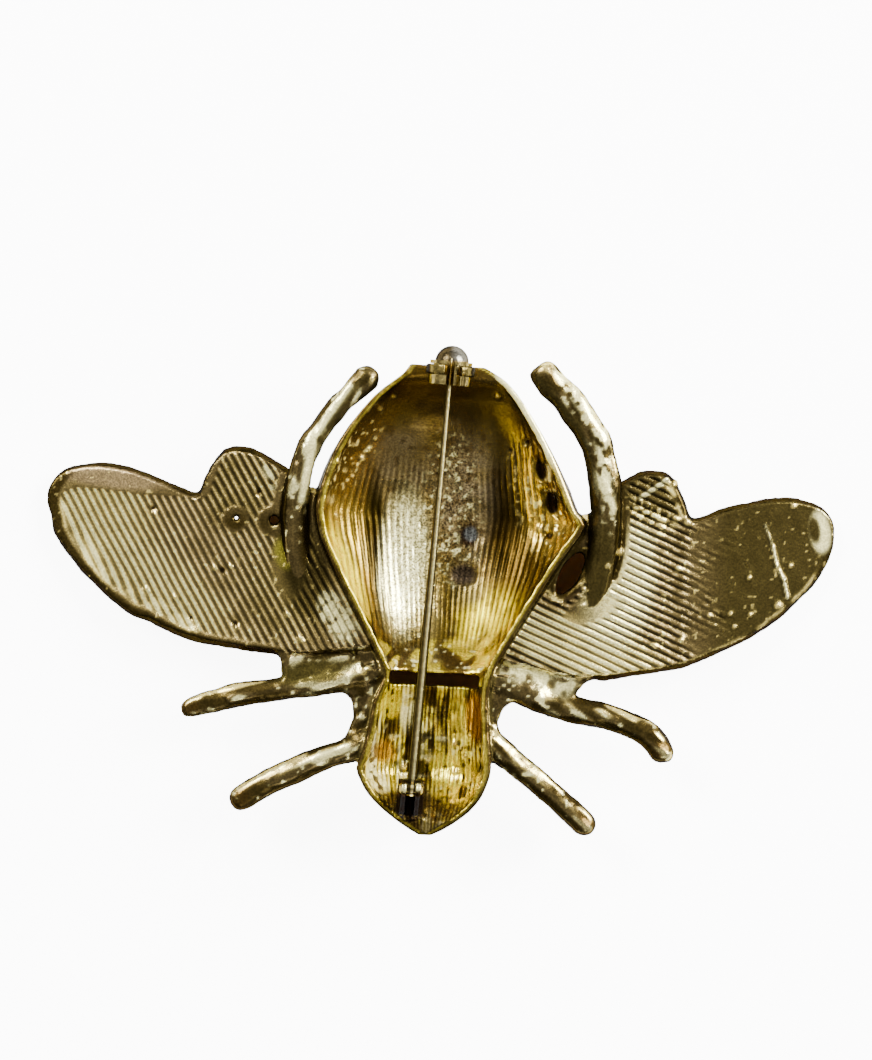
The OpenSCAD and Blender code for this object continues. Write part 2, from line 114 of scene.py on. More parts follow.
bm = bmesh.new()
bm.from_mesh(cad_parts["casting"].data)
bmesh.ops.remove_doubles(bm, verts=bm.verts, dist=WELD)
bmesh.ops.scale(bm, vec=(1 / MM, 1 / MM, 1 / MM), verts=bm.verts)
rough_mesh = bpy.data.meshes.new("casting_work")
bm.to_mesh(rough_mesh)
bm.free()
work = add_object("casting_work", rough_mesh)
net = work.modifiers.new("even net", "REMESH")
net.mode = "VOXEL"
net.voxel_size = VOXEL
apply_modifiers(work)
print("fine net:", len(work.data.vertices), "points")

# %% [markdown]
# ## Asking questions of many points at once
# A quarter of a million points are too many for a Python loop, so their places go into numpy
# arrays. The helpers answer for all points together: how far along a ramp each one is, and how
# high a random cloud is there. Large primes scramble a cell's numbers into a random one.

# %% Helpers for many points
PRIMES = (73856093, 19349663, 83492791)
SCRAMBLE = 1274126177


def points_of(mesh):
    """The places of a mesh's points, a row for each."""
    co = np.empty(len(mesh.vertices) * 3)
    mesh.vertices.foreach_get("co", co)
    return co.reshape(-1, 3)


def normals_of(mesh):
    """The way that the skin faces at each point."""
    no = np.empty(len(mesh.vertices) * 3, dtype=np.float32)
    mesh.vertex_normals.foreach_get("vector", no)
    return no.reshape(-1, 3).astype(float)


def ramp(value, low, high):
    """0 up to low, 1 from high on, and a soft step between."""
    t = np.clip((value - low) / (high - low), 0, 1)
    return t * t * (3 - 2 * t)


def cloud(points, size, seed):
    """Smooth random numbers from -1 to 1 that change over about size millimetres."""
    q = points / size + seed * 17.31
    cell = np.floor(q).astype(np.int64)
    f = q - cell
    f = f * f * (3 - 2 * f)
    total = np.zeros(len(points))
    for corner in range(8):
        step = np.array([corner & 1, corner >> 1 & 1, corner >> 2 & 1])
        c = cell + step
        h = c[:, 0] * PRIMES[0] ^ c[:, 1] * PRIMES[1] ^ c[:, 2] * PRIMES[2]
        h = (h ^ (h >> 13)) * SCRAMBLE
        value = ((h ^ (h >> 16)) & 0xFFFF) / 32767.5 - 1
        total += value * np.prod(np.where(step == 1, f, 1 - f), axis=1)
    return total


co = points_of(work.data)
no = normals_of(work.data)
print("points", len(co), "noise from", round(cloud(co[:2000], 1.0, 1).min(), 2))

# %% [markdown]
# ## Where is what
# The grooves of a wing stop at its border, and the hollow has its own. So each point needs to
# know whether it lies on a wing's back, in the hollow, on a leg or on a part that was machined.
# The rim's half widths along the body (place, left, right) and the wings' height away from it
# are the casting's own sizes. Hinge and catch are found by a circle and their lowest height.

# %% Regions of the casting
RIM_ROWS = (
    (-19.9, 0.5, 0.5), (-18.7, 2.5, 2.4), (-17.8, 3.7, 3.5), (-16.8, 4.8, 4.3), (-15.7, 5.5, 4.8),
    (-14.7, 5.9, 5.1), (-13.7, 5.5, 5.1), (-11.6, 5.0, 4.8), (-9.2, 4.7, 4.6), (-7.8, 4.2, 4.6),
    (-6.9, 4.0, 4.8), (-5.9, 4.4, 5.1), (-4.4, 5.2, 5.8), (-1.9, 6.6, 7.15), (0.6, 8.0, 8.5),
    (3.1, 9.3, 9.95), (4.35, 9.85, 10.8), (6.0, 10.2, 11.65), (7.0, 10.1, 10.9), (8.1, 9.9, 10.4),
    (10.6, 9.1, 9.2), (13.1, 7.9, 7.9), (15.6, 6.0, 6.2), (16.85, 4.6, 5.2), (17.6, 3.7, 4.3),
    (18.35, 3.2, 2.9),
)
WING_FALL = ((0, 5.4), (9.7, 5.24), (12.9, 4.86), (14.9, 4.54), (18.1, 3.9), (19.7, 3.51),
             (22.6, 3.02), (25.5, 2.43), (28.1, 1.89), (30.0, 1.46), (31.3, 1.19), (32.3, 1.03))

WING_FRONT = -6.75
WING_FROM = 12.2
RIM_TOP = 6.98
HINGE = (-1.3, -15.8)
CATCH = (0.13, 17.95)
MACHINED = ((*HINGE, 2.6, 6.35), (*CATCH, 3.2, 6.72))

rim_y, rim_left, rim_right = np.array(RIM_ROWS).T


def regions():
    """For each point: the rim's half width, how far inside it, hollow, wing and machined."""
    x, y, z = co.T
    faces_up = no[:, 2]
    half = np.where(x < 0, np.interp(y, rim_y, rim_left), np.interp(y, rim_y, rim_right))
    inward = half - np.abs(x)
    along = (y > rim_y[0]) & (y < rim_y[-1] + 0.4)
    hollow = ramp(inward, 0.3, 0.7) * along * (faces_up > -0.25) * (z > 0.9) * (z < RIM_TOP)
    wing_z = np.interp(np.abs(x), *np.array(WING_FALL).T)
    outside = np.abs(x) > np.minimum(half + 0.2, WING_FROM)
    wing = outside & (faces_up > 0.7) & (np.abs(z - wing_z) < 0.28) & (y > WING_FRONT)
    machined = np.zeros(len(co), bool)
    for cx, cy, reach, lowest in MACHINED:
        machined |= (np.hypot(x - cx, y - cy) < reach) & (z > lowest)
    return half, inward, hollow, wing, machined


half, inward, hollow, wing, machined = regions()
print("hollow", int((hollow > 0.5).sum()), "wing", int(wing.sum()), "machined", int(machined.sum()))

# %% [markdown]
# ## Rounding off the facets
# The hollow and the legs should flow. A smooth modifier with a weight for each point rounds the
# facets there and leaves rims, ears, the slot and the catch ring crisp. The two wing roots are
# eased too, but not on their outer edge, so that the outline stays put.

# %% Smooth the flowing parts
LEVELS = 5
WING_ROOTS = (place_of(306, 600), place_of(584, 618))
SLOT = (0.1, -7.2)

flow = np.maximum(hollow * ramp(inward, 0.5, 1.3), ramp(-no[:, 2], -0.1, 0.4))
is_leg = (~wing) & (np.abs(co[:, 0]) > half + 0.8)
flow = np.maximum(flow, 0.6 * is_leg) * (~machined)
off_edge = ramp(np.abs(no[:, 2]), 0.0, 0.3)
for root_x, root_y in WING_ROOTS:
    at_root = np.hypot(co[:, 0] - root_x, co[:, 1] - root_y) < 3.4
    flow = np.maximum(flow, at_root * (inward < -0.4) * off_edge)
slot_near = (np.abs(co[:, 0] - SLOT[0]) < 4.4) & (np.abs(co[:, 1] - SLOT[1]) < 1.1)
flow = flow * (~slot_near)
group = work.vertex_groups.new(name="flowing")
for level in range(1, LEVELS + 1):
    chosen = np.nonzero(np.round(flow * LEVELS) == level)[0]
    group.add(chosen.tolist(), level / LEVELS, "REPLACE")
smooth = work.modifiers.new("flow", "SMOOTH")
smooth.factor = 0.5
smooth.iterations = 60
smooth.vertex_group = "flowing"
apply_modifiers(work)
co = points_of(work.data)
no = normals_of(work.data)
half, inward, hollow, wing, machined = regions()
x, y, z = co.T
up = no[:, 2]
print("smoothed", int((flow > 0).sum()), "points")

# %% [markdown]
# ## The picture's own grid
# Marks and stains are easiest to place by reading their pixel in the photograph. Each point gets
# the pixel that it shows at, and an oval patch is then a soft mask around one pixel.

# %% Patches by pixel
flat_x = x - BODY_CENTRE[0]
flat_y = y - BODY_CENTRE[1]
px = PHOTO_CENTRE[0] + (flat_x * math.cos(ROLL) + flat_y * math.sin(ROLL)) / PIXEL
py = PHOTO_CENTRE[1] - (-flat_x * math.sin(ROLL) + flat_y * math.cos(ROLL)) / PIXEL


def patch(cx, cy, wide, high, turn=0, soft=0.5):
    """1 inside an oval of the picture, falling to 0 at its edge; turn is clockwise in degrees."""
    a = math.radians(turn)
    dx = px - cx
    dy = py - cy
    along = (dx * math.cos(a) + dy * math.sin(a)) / wide
    across = (-dx * math.sin(a) + dy * math.cos(a)) / high
    return 1 - ramp(np.hypot(along, across), 1 - soft, 1 + soft * 0.5)


def near_line(x0, y0, x1, y1, wide):
    """1 on a line of the picture, falling to 0 at wide pixels from it."""
    d = np.array([x1 - x0, y1 - y0], dtype=float)
    t = np.clip(((px - x0) * d[0] + (py - y0) * d[1]) / d.dot(d), 0, 1)
    return 1 - ramp(np.hypot(px - x0 - t * d[0], py - y0 - t * d[1]), 0.2 * wide, wide)


print("picture columns", round(px.min()), "to", round(px.max()))

# %% [markdown]
# ## The grooves
# The mould was ruled with a tool: straight lines a little over half a millimetre apart. A wave
# across them gives ridges and valleys. A random cloud bends and fades them, so they look cut
# by hand and partly filled by the pour.

# %% Rule the lines


def ruled(direction, pitch, wobble, seed):
    """How many lines lie between the picture's corner and each point."""
    a = math.radians(direction)
    across = (px * math.sin(a) - py * math.cos(a)) + wobble * cloud(co, 3.5, seed)
    return across / pitch


def wave(count):
    """The height of the metal from -1 to 1, where count grows by one from line to line."""
    return np.sin(2 * math.pi * count)


left = x < 0
wing_count = np.where(left, ruled(62, 7.1, 0.7, 3), ruled(25, 7.4, 0.7, 4))
wing_wave = wave(wing_count)
print("lines on the right wing", int(np.ptp(wing_count[wing & ~left])))

# %% [markdown]
# ## A border round each wing
# The ruling stops short of a wing's edge. A tree of the edge's points finds the one nearest to
# each point of the back. The right wing's lines fade out towards its worn tip.

# %% Keep the grooves inside a border
edge_points = np.nonzero((np.abs(x) > 9) & (np.abs(up) < 0.4))[0]
edge_tree = kdtree.KDTree(len(edge_points))
for number, i in enumerate(edge_points):
    edge_tree.insert(co[i], number)
edge_tree.balance()
edge_distance = np.full(len(co), 9.0)
for i in np.nonzero(wing)[0]:
    edge_distance[i] = edge_tree.find(co[i])[2]

lower_left = left * np.maximum(ramp(py, 495, 525), 1 - ramp(px, 62, 80)) * (1 - ramp(px, 255, 300))
border = 0.55 + 1.5 * patch(105, 478, 75, 20, 8) + 0.35 * lower_left
inside_border = ramp(edge_distance, border, border + 0.35)
fade_out = 1 - ramp(px + 30 * cloud(co, 1.2, 5), 650, 740)
patchy = 0.75 + 0.25 * cloud(co, 2.2, 6)
wing_groove = wing * inside_border * patchy * np.where(left, 1.0, fade_out)
wing_groove = wing_groove * (1 - patch(290, 560, 22, 50)) * (1 - patch(590, 610, 34, 16, -20))
print("grooved points on the wings", int((wing_groove > 0.3).sum()))

# %% [markdown]
# ## Lines in the hollow
# Here the lines gather where the body narrows, so their pitch follows its width. They are
# rubbed out at the tail end, in the rough middle and on the glare, and slanted marks take
# their place beside the slot.

# %% Gather the lines of the hollow
gather = 0.45 + 0.55 * np.interp(y, rim_y, rim_left + rim_right) / 21
hollow_count = (x / gather + 0.12 * cloud(co, 2.5, 7)) / 0.5
hollow_wave = wave(hollow_count)
broken = 0.6 + 0.4 * cloud(co * [2.2, 0.5, 0.5], 1.0, 8)
upper = ramp(y, 9.0, 11.5) * (1 - patch(532, 480, 26, 60))
hollow_groove = hollow * np.clip(broken, 0.15, 1) * (1 - 0.97 * upper)
for *oval, share in (
    (450, 505, 28, 76, 0, 0.7), (343, 455, 30, 66, 33, 0.9),
    (343, 575, 16, 66, -20, 0.4), (404, 560, 20, 76, 0, 0.45),
):
    hollow_groove *= 1 - share * patch(*oval)
low_hollow = hollow * ramp(py + 10 * cloud(co, 1.5, 59), 630, 650) * (y > -7.6)
hollow_groove *= 1 - 0.85 * low_hollow
down_right = (px + 0.8 * py) * PIXEL * 0.8
up_right = (px - 1.3 * py) * PIXEL * 0.22
slanted = cloud(np.stack([down_right, up_right, z * 0.3], axis=1), 0.5, 57)
print("grooved points in the hollow", int((hollow_groove > 0.3).sum()))

# %% [markdown]
# ## Streaks along the legs
# The legs were filed lengthwise. Each row is a leg in the picture, from end to end, and its
# width. The cloud's points are squeezed along the leg, which stretches the noise that way.

# %% Streak the legs
LEGS = (
    (352, 384, 302, 500, 30), (556, 372, 606, 500, 30), (185, 706, 350, 672, 26),
    (236, 800, 362, 736, 26), (560, 685, 668, 752, 34), (494, 742, 590, 828, 26),
)
SQUEEZE = 0.28
LIGHT_FROM = (0.64, 0.77)
leg_streak = np.zeros(len(co))
leg_side = np.zeros(len(co))
for x0, y0, x1, y1, wide in LEGS:
    long = math.hypot(x1 - x0, y1 - y0)
    way = np.array([x1 - x0, y1 - y0]) / long
    along = (px - x0) * way[0] + (py - y0) * way[1]
    across = -(px - x0) * way[1] + (py - y0) * way[0]
    here = (np.abs(across) < wide) & (along > -14) & (along < long + 12)
    stretched = np.stack([along * PIXEL * SQUEEZE, across * PIXEL, z], axis=1)
    leg_streak[here] = cloud(stretched, 0.5, 18)[here]
    leg_side[here] = (LIGHT_FROM[0] * no[:, 0] + LIGHT_FROM[1] * no[:, 1])[here]
print("leg points", int((leg_side != 0).sum()))

# %% [markdown]
# ## Marks of the pour
# Trapped gas leaves pits, spilt metal leaves nodules, and a cold seam leaves a crease near the
# right wing's tip. Each is a row of a short table: where it is in the picture, how wide in
# pixels, and how high in millimetres, with pits below zero. The first creases are the wing's.

# %% Pits, nodules and creases
MARKS = (
    (152, 508, 4, -0.14), (222, 570, 5, -0.07), (214, 568, 4, 0.08), (235, 623, 4, -0.14),
    (258, 492, 4, -0.16), (231, 566, 3, 0.09), (145, 590, 4, 0.08), (175, 598, 4, 0.08),
    (196, 630, 5, 0.07), (190, 618, 3, -0.08), (300, 640, 5, 0.10), (287, 615, 4, 0.07),
    (526, 443, 4, -0.25), (510, 450, 3, -0.12), (548, 535, 5, -0.18), (548, 542, 4, 0.10),
    (556, 530, 4, 0.12), (540, 528, 4, 0.12), (534, 515, 3, 0.10), (338, 462, 3, 0.14),
    (352, 444, 3, 0.12), (362, 458, 4, 0.12), (368, 450, 3, 0.12), (375, 438, 3, 0.10),
    (380, 408, 4, 0.12), (394, 396, 3, 0.10), (330, 500, 6, 0.12), (336, 515, 3, 0.08),
    (345, 470, 4, 0.07), (498, 396, 4, 0.12), (676, 520, 5, 0.12), (688, 523, 5, 0.12),
    (676, 483, 4, 0.12), (661, 524, 5, 0.07), (678, 570, 4, 0.09), (750, 578, 3, 0.08),
    (751, 615, 3, 0.08), (731, 614, 3, 0.07), (710, 616, 3, 0.07), (779, 606, 5, 0.08),
    (682, 640, 4, 0.10), (655, 645, 5, 0.09), (735, 627, 3, 0.06), (792, 566, 3, 0.06),
    (795, 506, 4, 0.07), (620, 552, 5, 0.06), (608, 566, 4, 0.07), (441, 455, 3, 0.05),
    (392, 738, 5, 0.10), (455, 744, 4, 0.12), (461, 748, 3, 0.10), (470, 735, 3, 0.12),
    (455, 772, 4, 0.10), (403, 768, 5, 0.12), (445, 768, 3, -0.12), (428, 762, 4, 0.10),
    (452, 802, 4, 0.08), (466, 756, 3, 0.09), (369, 668, 4, 0.15), (364, 672, 5, 0.10),
)
CREASES = (
    (766, 524, 774, 547, 2.0, 0.04), (774, 547, 778, 566, 2.6, 0.12),
    (778, 566, 785, 580, 2.2, 0.10), (785, 580, 789, 598, 2.8, 0.14),
    (640, 497, 668, 478, 2.6, 0.12), (545, 601, 560, 603, 3, 0.12),
    (560, 603, 588, 592, 3, 0.10), (566, 608, 586, 606, 3, 0.10),
    (700, 480, 745, 498, 3, 0.03), (348, 640, 362, 668, 3, 0.10),
    (300, 440, 316, 470, 2.4, 0.05),
)
WING_CREASES = 5

depth = np.zeros(len(co))
facing = up > 0.05
for cx, cy, wide, high in MARKS:
    depth += high * patch(cx, cy, wide, wide, 0, 0.8) * facing
for x0, y0, x1, y1, wide, high in CREASES:
    depth += high * near_line(x0, y0, x1, y1, wide) * facing
print("marks", len(MARKS), "creases", len(CREASES))

# %% [markdown]
# ## Carve everything in one go
# Each point moves once along its own normal, by the sum of all the effects: the wings', the
# hollow's, the thorax's, the rim's and the legs'. The number before an effect is its height in
# millimetres. Hinge and catch are masked out. Last, the left wing's lower edge is pushed out a
# little, because the measured one lies inside the photograph's.

# %% Move the points
EDGE_PUSH = np.array([-0.24, -0.22, 0])

depth += 0.062 * wing_groove * wing_wave
depth -= 0.05 * wing * inside_border * np.where(left, 1.0, 0.4)
depth += 0.018 * wing * cloud(co, 1.1, 16)

depth += 0.052 * hollow_groove * hollow_wave
depth += low_hollow * (0.05 * slanted + 0.05 * cloud(co, 0.7, 58))
rough_centre = hollow * np.clip(patch(455, 515, 38, 90) + 0.7 * patch(406, 560, 26, 84), 0, 1)
depth += 0.030 * rough_centre * cloud(co, 0.42, 9) * (1 + 0.5 * cloud(co, 1.5, 19))
depth += 0.020 * hollow * cloud(co, 0.9, 10)
wall_lumps = hollow * (patch(552, 505, 34, 75, -20) + patch(345, 455, 25, 60, 35))
depth += 0.07 * wall_lumps * cloud(co, 0.7, 11)

thorax = (y < -7.6) & (hollow > 0.3)
stripe = cloud(co * [1.35, 0.24, 0.24], 0.8, 38)
depth += thorax * (0.07 * stripe + 0.06 * cloud(co * [1.6, 0.7, 1], 0.6, 12))

rim_band = (np.abs(inward) < 0.7) & (up > 0.5) & (z > 5.5)
depth += 0.05 * rim_band * cloud(co, 0.8, 13)
limb = (~wing) & (hollow < 0.05) & (np.abs(x) > half + 0.4) & (up > -0.5)
depth += limb * (0.12 * cloud(co, 1.7, 14) + 0.07 * leg_streak + 0.03 * cloud(co, 0.45, 15))
depth += 0.02 * (up < -0.2) * cloud(co, 2.0, 17)

depth = depth * (~machined)
co = co + no * depth[:, None]
fuller_edge = (x < -20) * near_line(58, 535, 128, 610, 24)
co = co + fuller_edge[:, None] * EDGE_PUSH
x, y, z = co.T
work.data.vertices.foreach_set("co", co.ravel())
work.data.update()
print("carved between", round(depth.min(), 3), "and", round(depth.max(), 3), "mm")

# %% [markdown]
# ## Colour that follows the metal
# Gilding wears, tarnishes and catches grime, and beside these stains the colour also holds
# painted highlights, glints, reflections and shade. A colour stored on the points lets every
# mark sit where it belongs and keeps the shader simple. One brush lays a tone and says how matt
# it is. The other only darkens, mostly to paint shade, because a dark tone laid thinly over a
# bright one still shines.

# %% Tones and brushes
WHITE_GOLD = np.array((1.0, 0.91, 0.40))
CREAM = np.array((1.0, 0.79, 0.24))
CHAMPAGNE = np.array((0.56, 0.43, 0.13))
OLIVE = np.array((0.16, 0.122, 0.035))
DEEP_OLIVE = np.array((0.040, 0.028, 0.007))
WEB_GREEN = np.array((0.105, 0.085, 0.022))
GREY_BROWN = np.array((0.17, 0.125, 0.045))
COOL_GREY = np.array((0.20, 0.155, 0.085))
PINK_GREY = np.array((0.46, 0.33, 0.15))
YELLOW = np.array((1.0, 0.78, 0.009))
HONEY = YELLOW * 0.8 + CREAM * 0.2
GOLD = np.array((0.60, 0.40, 0.048))
ORANGE = np.array((0.45, 0.24, 0.02))
AMBER = np.array((0.16, 0.094, 0.014))
BROWN = np.array((0.060, 0.036, 0.009))
DARK = np.array((0.018, 0.010, 0.004))
STAIN = np.array((0.26, 0.23, 0.03))

colour = np.tile(OLIVE, (len(co), 1))
frost = np.full(len(co), 0.15)


def lay(mask, new, dull=0.15):
    """Mixes a tone, and how matt it is, into the points where the mask is up."""
    global colour, frost
    m = np.clip(mask, 0, 1)
    colour = colour * (1 - m[:, None]) + new * m[:, None]
    frost = frost * (1 - m) + dull * m


def dim(mask, share):
    """Darkens the points where the mask is up to a share of their tone."""
    global colour
    m = np.clip(mask, 0, 1)
    colour = colour * (1 - m[:, None] * (1 - share))


def blots(size, seed, low, high, stretch=(1, 1, 1)):
    """Random blots about size millimetres wide: 1 where the cloud is above high, 0 below low."""
    return ramp(cloud(co * stretch, size, seed), low, high)


print("points to colour", len(co))

# %% [markdown]
# ## Legs, webs and the plain front
# The legs get a painted highlight on the side that faces the window, up and right in the
# picture, and painted shade on the other side and underneath. Streaks run along them, some of
# them painted highlights and glints. The front is plain gilt; the side faces outside the body
# are painted dark as shade, so the front darkens towards the rim.

# %% Colour the legs and the front
in_body = hollow >= 0.1
lit_side = ramp(leg_side + 0.35 * leg_streak, 0.0, 0.45)
lay(limb, GREY_BROWN * 0.7)
# painted highlight: cream on the lit side of each leg, and white where a streak faces up
lay(limb * lit_side * ramp(leg_streak, -0.3, 0.15), CREAM, 0.25)
lay(limb * ramp(leg_streak, 0.25, 0.5) * ramp(up, 0.6, 0.9), WHITE_GOLD, 0.3)
lay(limb * ramp(-leg_streak, 0.0, 0.3) * 0.9, DEEP_OLIVE * 1.3)
# painted glints: white flecks along the legs
lay(limb * ramp(cloud(co, 0.4, 53) + 0.5 * leg_streak, 0.5, 0.7), WHITE_GOLD, 0.3)
# painted shade on the side away from the window and on the legs' undersides
lay(limb * ramp(-leg_side, 0.15, 0.5) * 0.85, DEEP_OLIVE)
lay(limb * ramp(0.5 - up, 0, 0.3) * 0.9, DEEP_OLIVE)
# painted shade on every side face outside the body; the front turns gold as it faces down
lay((up < 0.55) & (~in_body), DEEP_OLIVE)
lay(ramp(-up + 0.15 * cloud(co, 1.5, 55), 0.05, 0.7) * (~in_body), GOLD)
TIPS = ((190, 706, 10, 10), (240, 798, 12, 12), (663, 750, 12, 10), (584, 824, 12, 12))
lay(limb * sum(patch(*tip) for tip in TIPS) * 0.7, BROWN * 1.3)


def streak(first, second):
    """Two strokes end to end along a leg, each from a place to a place with a width in pixels."""
    return limb * (near_line(*first) + near_line(*second))


# painted highlights and shade: bright and dark strokes along the hind legs
lay(streak((350, 388, 314, 436, 6), (314, 436, 303, 500, 7)), WHITE_GOLD, 0.5)
lay(streak((366, 372, 320, 440, 5), (320, 440, 313, 500, 5)) * 0.8, OLIVE * 0.6)
bright_streak = streak((560, 372, 600, 430, 9), (600, 430, 609, 510, 10))
lay(bright_streak * blots(0.35, 25, -0.3, 0.2), WHITE_GOLD, 0.5)
dark_streak = streak((534, 378, 576, 426, 9), (576, 426, 590, 470, 7))
lay(dark_streak * blots(0.5, 26, -0.9, -0.5), OLIVE * 0.5)
lay(limb * patch(315, 672, 45, 14, -6), WEB_GREEN)
# painted shade where the leg roots meet the wings
lay(limb * patch(598, 566, 20, 54, 6, 0.4), OLIVE * 0.4, 0.2)
lay(limb * patch(311, 545, 14, 44, -4, 0.4), DEEP_OLIVE * 1.5, 0.2)
# painted highlight along the middle right leg
lay(limb * near_line(506, 664, 562, 684, 18) * blots(0.6, 26, -0.6, 0.1), WHITE_GOLD, 0.4)
print("limb points", int(limb.sum()))

# %% [markdown]
# ## The left wing
# Its grooves get a painted highlight on their crests and painted shade in their valleys, and the
# wing's broad tones are painted light too: lighter at the lower left, darker at the upper right
# and the root, with lit and shaded borders. The shader draws the lines, so here each point only
# gets the broad tones below them, how much brighter a crest is and how much darker a valley is.

# %% Colour the left wing
wing_mask = wing.astype(float)
on_left = wing_mask * left
on_right = wing_mask * ~left
grooved = ramp(wing_groove, 0.1, 0.5)
uneven_crest_light = np.clip(0.8 + 0.6 * cloud(co, 1.4, 27), 0.2, 1.3)
grain_of_pour = cloud(co, 0.28, 32)
lay(on_left, GREY_BROWN * 1.1)
# painted light from the wing's curve: lighter lower left, darker upper right and root
lay(on_left * patch(95, 515, 60, 50, 30, 0.7) * 0.85, CHAMPAGNE)
lay(on_left * patch(160, 590, 90, 34, 35, 0.7) * 0.7, CHAMPAGNE * 0.9)
lay(on_left * patch(290, 590, 60, 60, 0, 0.7) * 0.8, OLIVE * 0.8)
lay(on_left * patch(240, 490, 44, 46, 0, 0.5) * 0.85, OLIVE * 0.6)
# painted highlight: a bright line
lay(on_left * near_line(262, 458, 274, 486, 5) * ramp(grain_of_pour, -0.2, 0.3), WHITE_GOLD, 0.5)
# painted light on the border: darker all round, lighter along the top, bright along the lower left
lay(on_left * (1 - inside_border) * 0.8, GREY_BROWN * 0.7)
lay(on_left * patch(105, 476, 62, 12, 8, 0.4), PINK_GREY * 0.7)
lay(on_left * near_line(62, 508, 106, 574, 10) * blots(0.8, 28, -0.5, 0.2), CREAM, 0.4)
lay(on_left * near_line(106, 574, 190, 626, 9) * blots(0.7, 29, -0.3, 0.3) * 0.9, CREAM, 0.4)
# painted shade at the wing root
lay(on_left * patch(306, 570, 26, 66, -12, 0.4), OLIVE * 0.32)
lay(on_left * patch(284, 553, 11, 17, -15), STAIN)
# painted highlight beside the root
lay(on_left * patch(338, 618, 15, 27, -30) * ramp(grain_of_pour, -0.5, 0.1), WHITE_GOLD, 0.6)
# painted shade on the wing's edges
lay(on_left * (1 - ramp(edge_distance, 0.75, 1.0)) * lower_left, DEEP_OLIVE)
lay(on_left * (1 - ramp(edge_distance, 0.12, 0.3)), DEEP_OLIVE)
# the crests' painted highlight and the valleys' painted shade, drawn by the shader
shine = 4.4 + 4.4 * patch(110, 560, 90, 50, 35, 0.7) + 3 * patch(250, 480, 26, 34, 60)
bright_line = on_left * grooved * uneven_crest_light * shine
dark_line = on_left * grooved * 0.68
print("left wing points", int(on_left.sum()))

# %% [markdown]
# ## The right wing and the wings' edges
# This wing is painted nearly white beside the body, as a highlight, and falls to a dull olive at
# its tip, as painted shade, where the grooves run out into dots. A painted shadow lies where it
# meets the body. A bright crescent, a painted highlight, and a cold seam with a painted highlight
# along it mark the tip.

# %% Colour the right wing and the edges
lay(on_right, GREY_BROWN * 0.7)
# painted shade towards the tip
lay(on_right * ramp(px, 690, 735), OLIVE * 0.4)
# painted highlights near the root
lay(on_right * patch(586, 652, 84, 30, 20) * (0.75 + 0.5 * cloud(co, 1.2, 47)), CREAM, 0.25)
lay(on_right * patch(618, 590, 32, 62, 14, 0.7), WHITE_GOLD * 0.6 + CREAM * 0.4, 0.25)
# painted shadow in the gap between the body and the wing, and shade beside the leg root
lay(on_right * patch(572, 575, 20, 36, 25), DARK)
lay(on_right * patch(596, 565, 12, 36, 10) * 0.8, OLIVE * 0.8)
lay(on_right * patch(650, 495, 44, 36, 10) * 0.9, OLIVE * 0.32)
# painted highlights: bright spots, the crease and a bright line on the lobe
lay(on_right * patch(650, 516, 30, 12, 30) * ramp(grain_of_pour, 0.1, 0.4) * 0.9, CREAM, 0.3)
lay(on_right * near_line(641, 498, 668, 480, 2.5), WHITE_GOLD, 0.3)
lay(on_right * near_line(668, 482, 684, 516, 4) * blots(0.6, 45, -0.3, 0.2), CREAM, 0.3)
# painted highlight on the lower edge's bevel and painted shade on the very edge
edge_strip = ramp(edge_distance, 0.42, 0.52) * (1 - ramp(edge_distance, 0.6, 0.75))
lay(on_right * edge_strip * ramp(py, 560, 590) * blots(0.9, 62, -0.5, 0.1), CREAM * 0.8)
lay(on_right * (1 - ramp(edge_distance, 0.35, 0.5)), DEEP_OLIVE)
# the crests' painted highlight, fading to dots at the tip
dotted = 1 - ramp(px, 620, 690) * blots(0.45, 49, -0.3, 0.2)
bright_line = bright_line + on_right * grooved * uneven_crest_light * dotted * (7 - 5.5 * patch(650, 492, 42, 32))
dark_line = dark_line + on_right * grooved * 0.9
# painted shade on the side faces of the wings
wing_edge = (~wing) & (np.abs(x - 0.8) > 13.4) & (y > WING_FRONT) & (up > -0.3)
lay(wing_edge, DEEP_OLIVE * 0.8, 0.1)
# painted highlight: a bright crescent at the tip
crescent = patch(822, 532, 11, 22, -8, 0.3) * (1 - patch(816, 530, 7, 16, -8, 0.4))
lay(wing_mask * crescent, WHITE_GOLD, 0.5)
# painted highlights along the creases
for x0, y0, x1, y1, wide, high in CREASES[:WING_CREASES]:
    lay(near_line(x0, y0, x1, y1, wide * 0.6) * min(1, high * 7) * wing_mask, WHITE_GOLD, 0.4)
# painted glints: small bright specks over both wings
lay(wing_mask * blots(0.3, 23, 0.62, 0.8) * (0.5 + 0.5 * cloud(co, 2.0, 24)) * 0.9, CREAM)
print("right wing points", int(on_right.sum()), "edge points", int(wing_edge.sum()))

# %% [markdown]
# ## The hollow: warm gold, tarnish and glare
# Inside the body the gilding is at its richest, with brown tarnish at the tail end, a painted
# white glare at the middle left, a cool grey painted sheen in the middle and yellow walls whose
# deep yellow is partly painted reflection. Some darker ovals are painted shade where a lamp
# mirrors. Each row of the table is one soft oval: its place and size in the picture, its turn,
# its tone and its strength. A cloud makes them ragged.

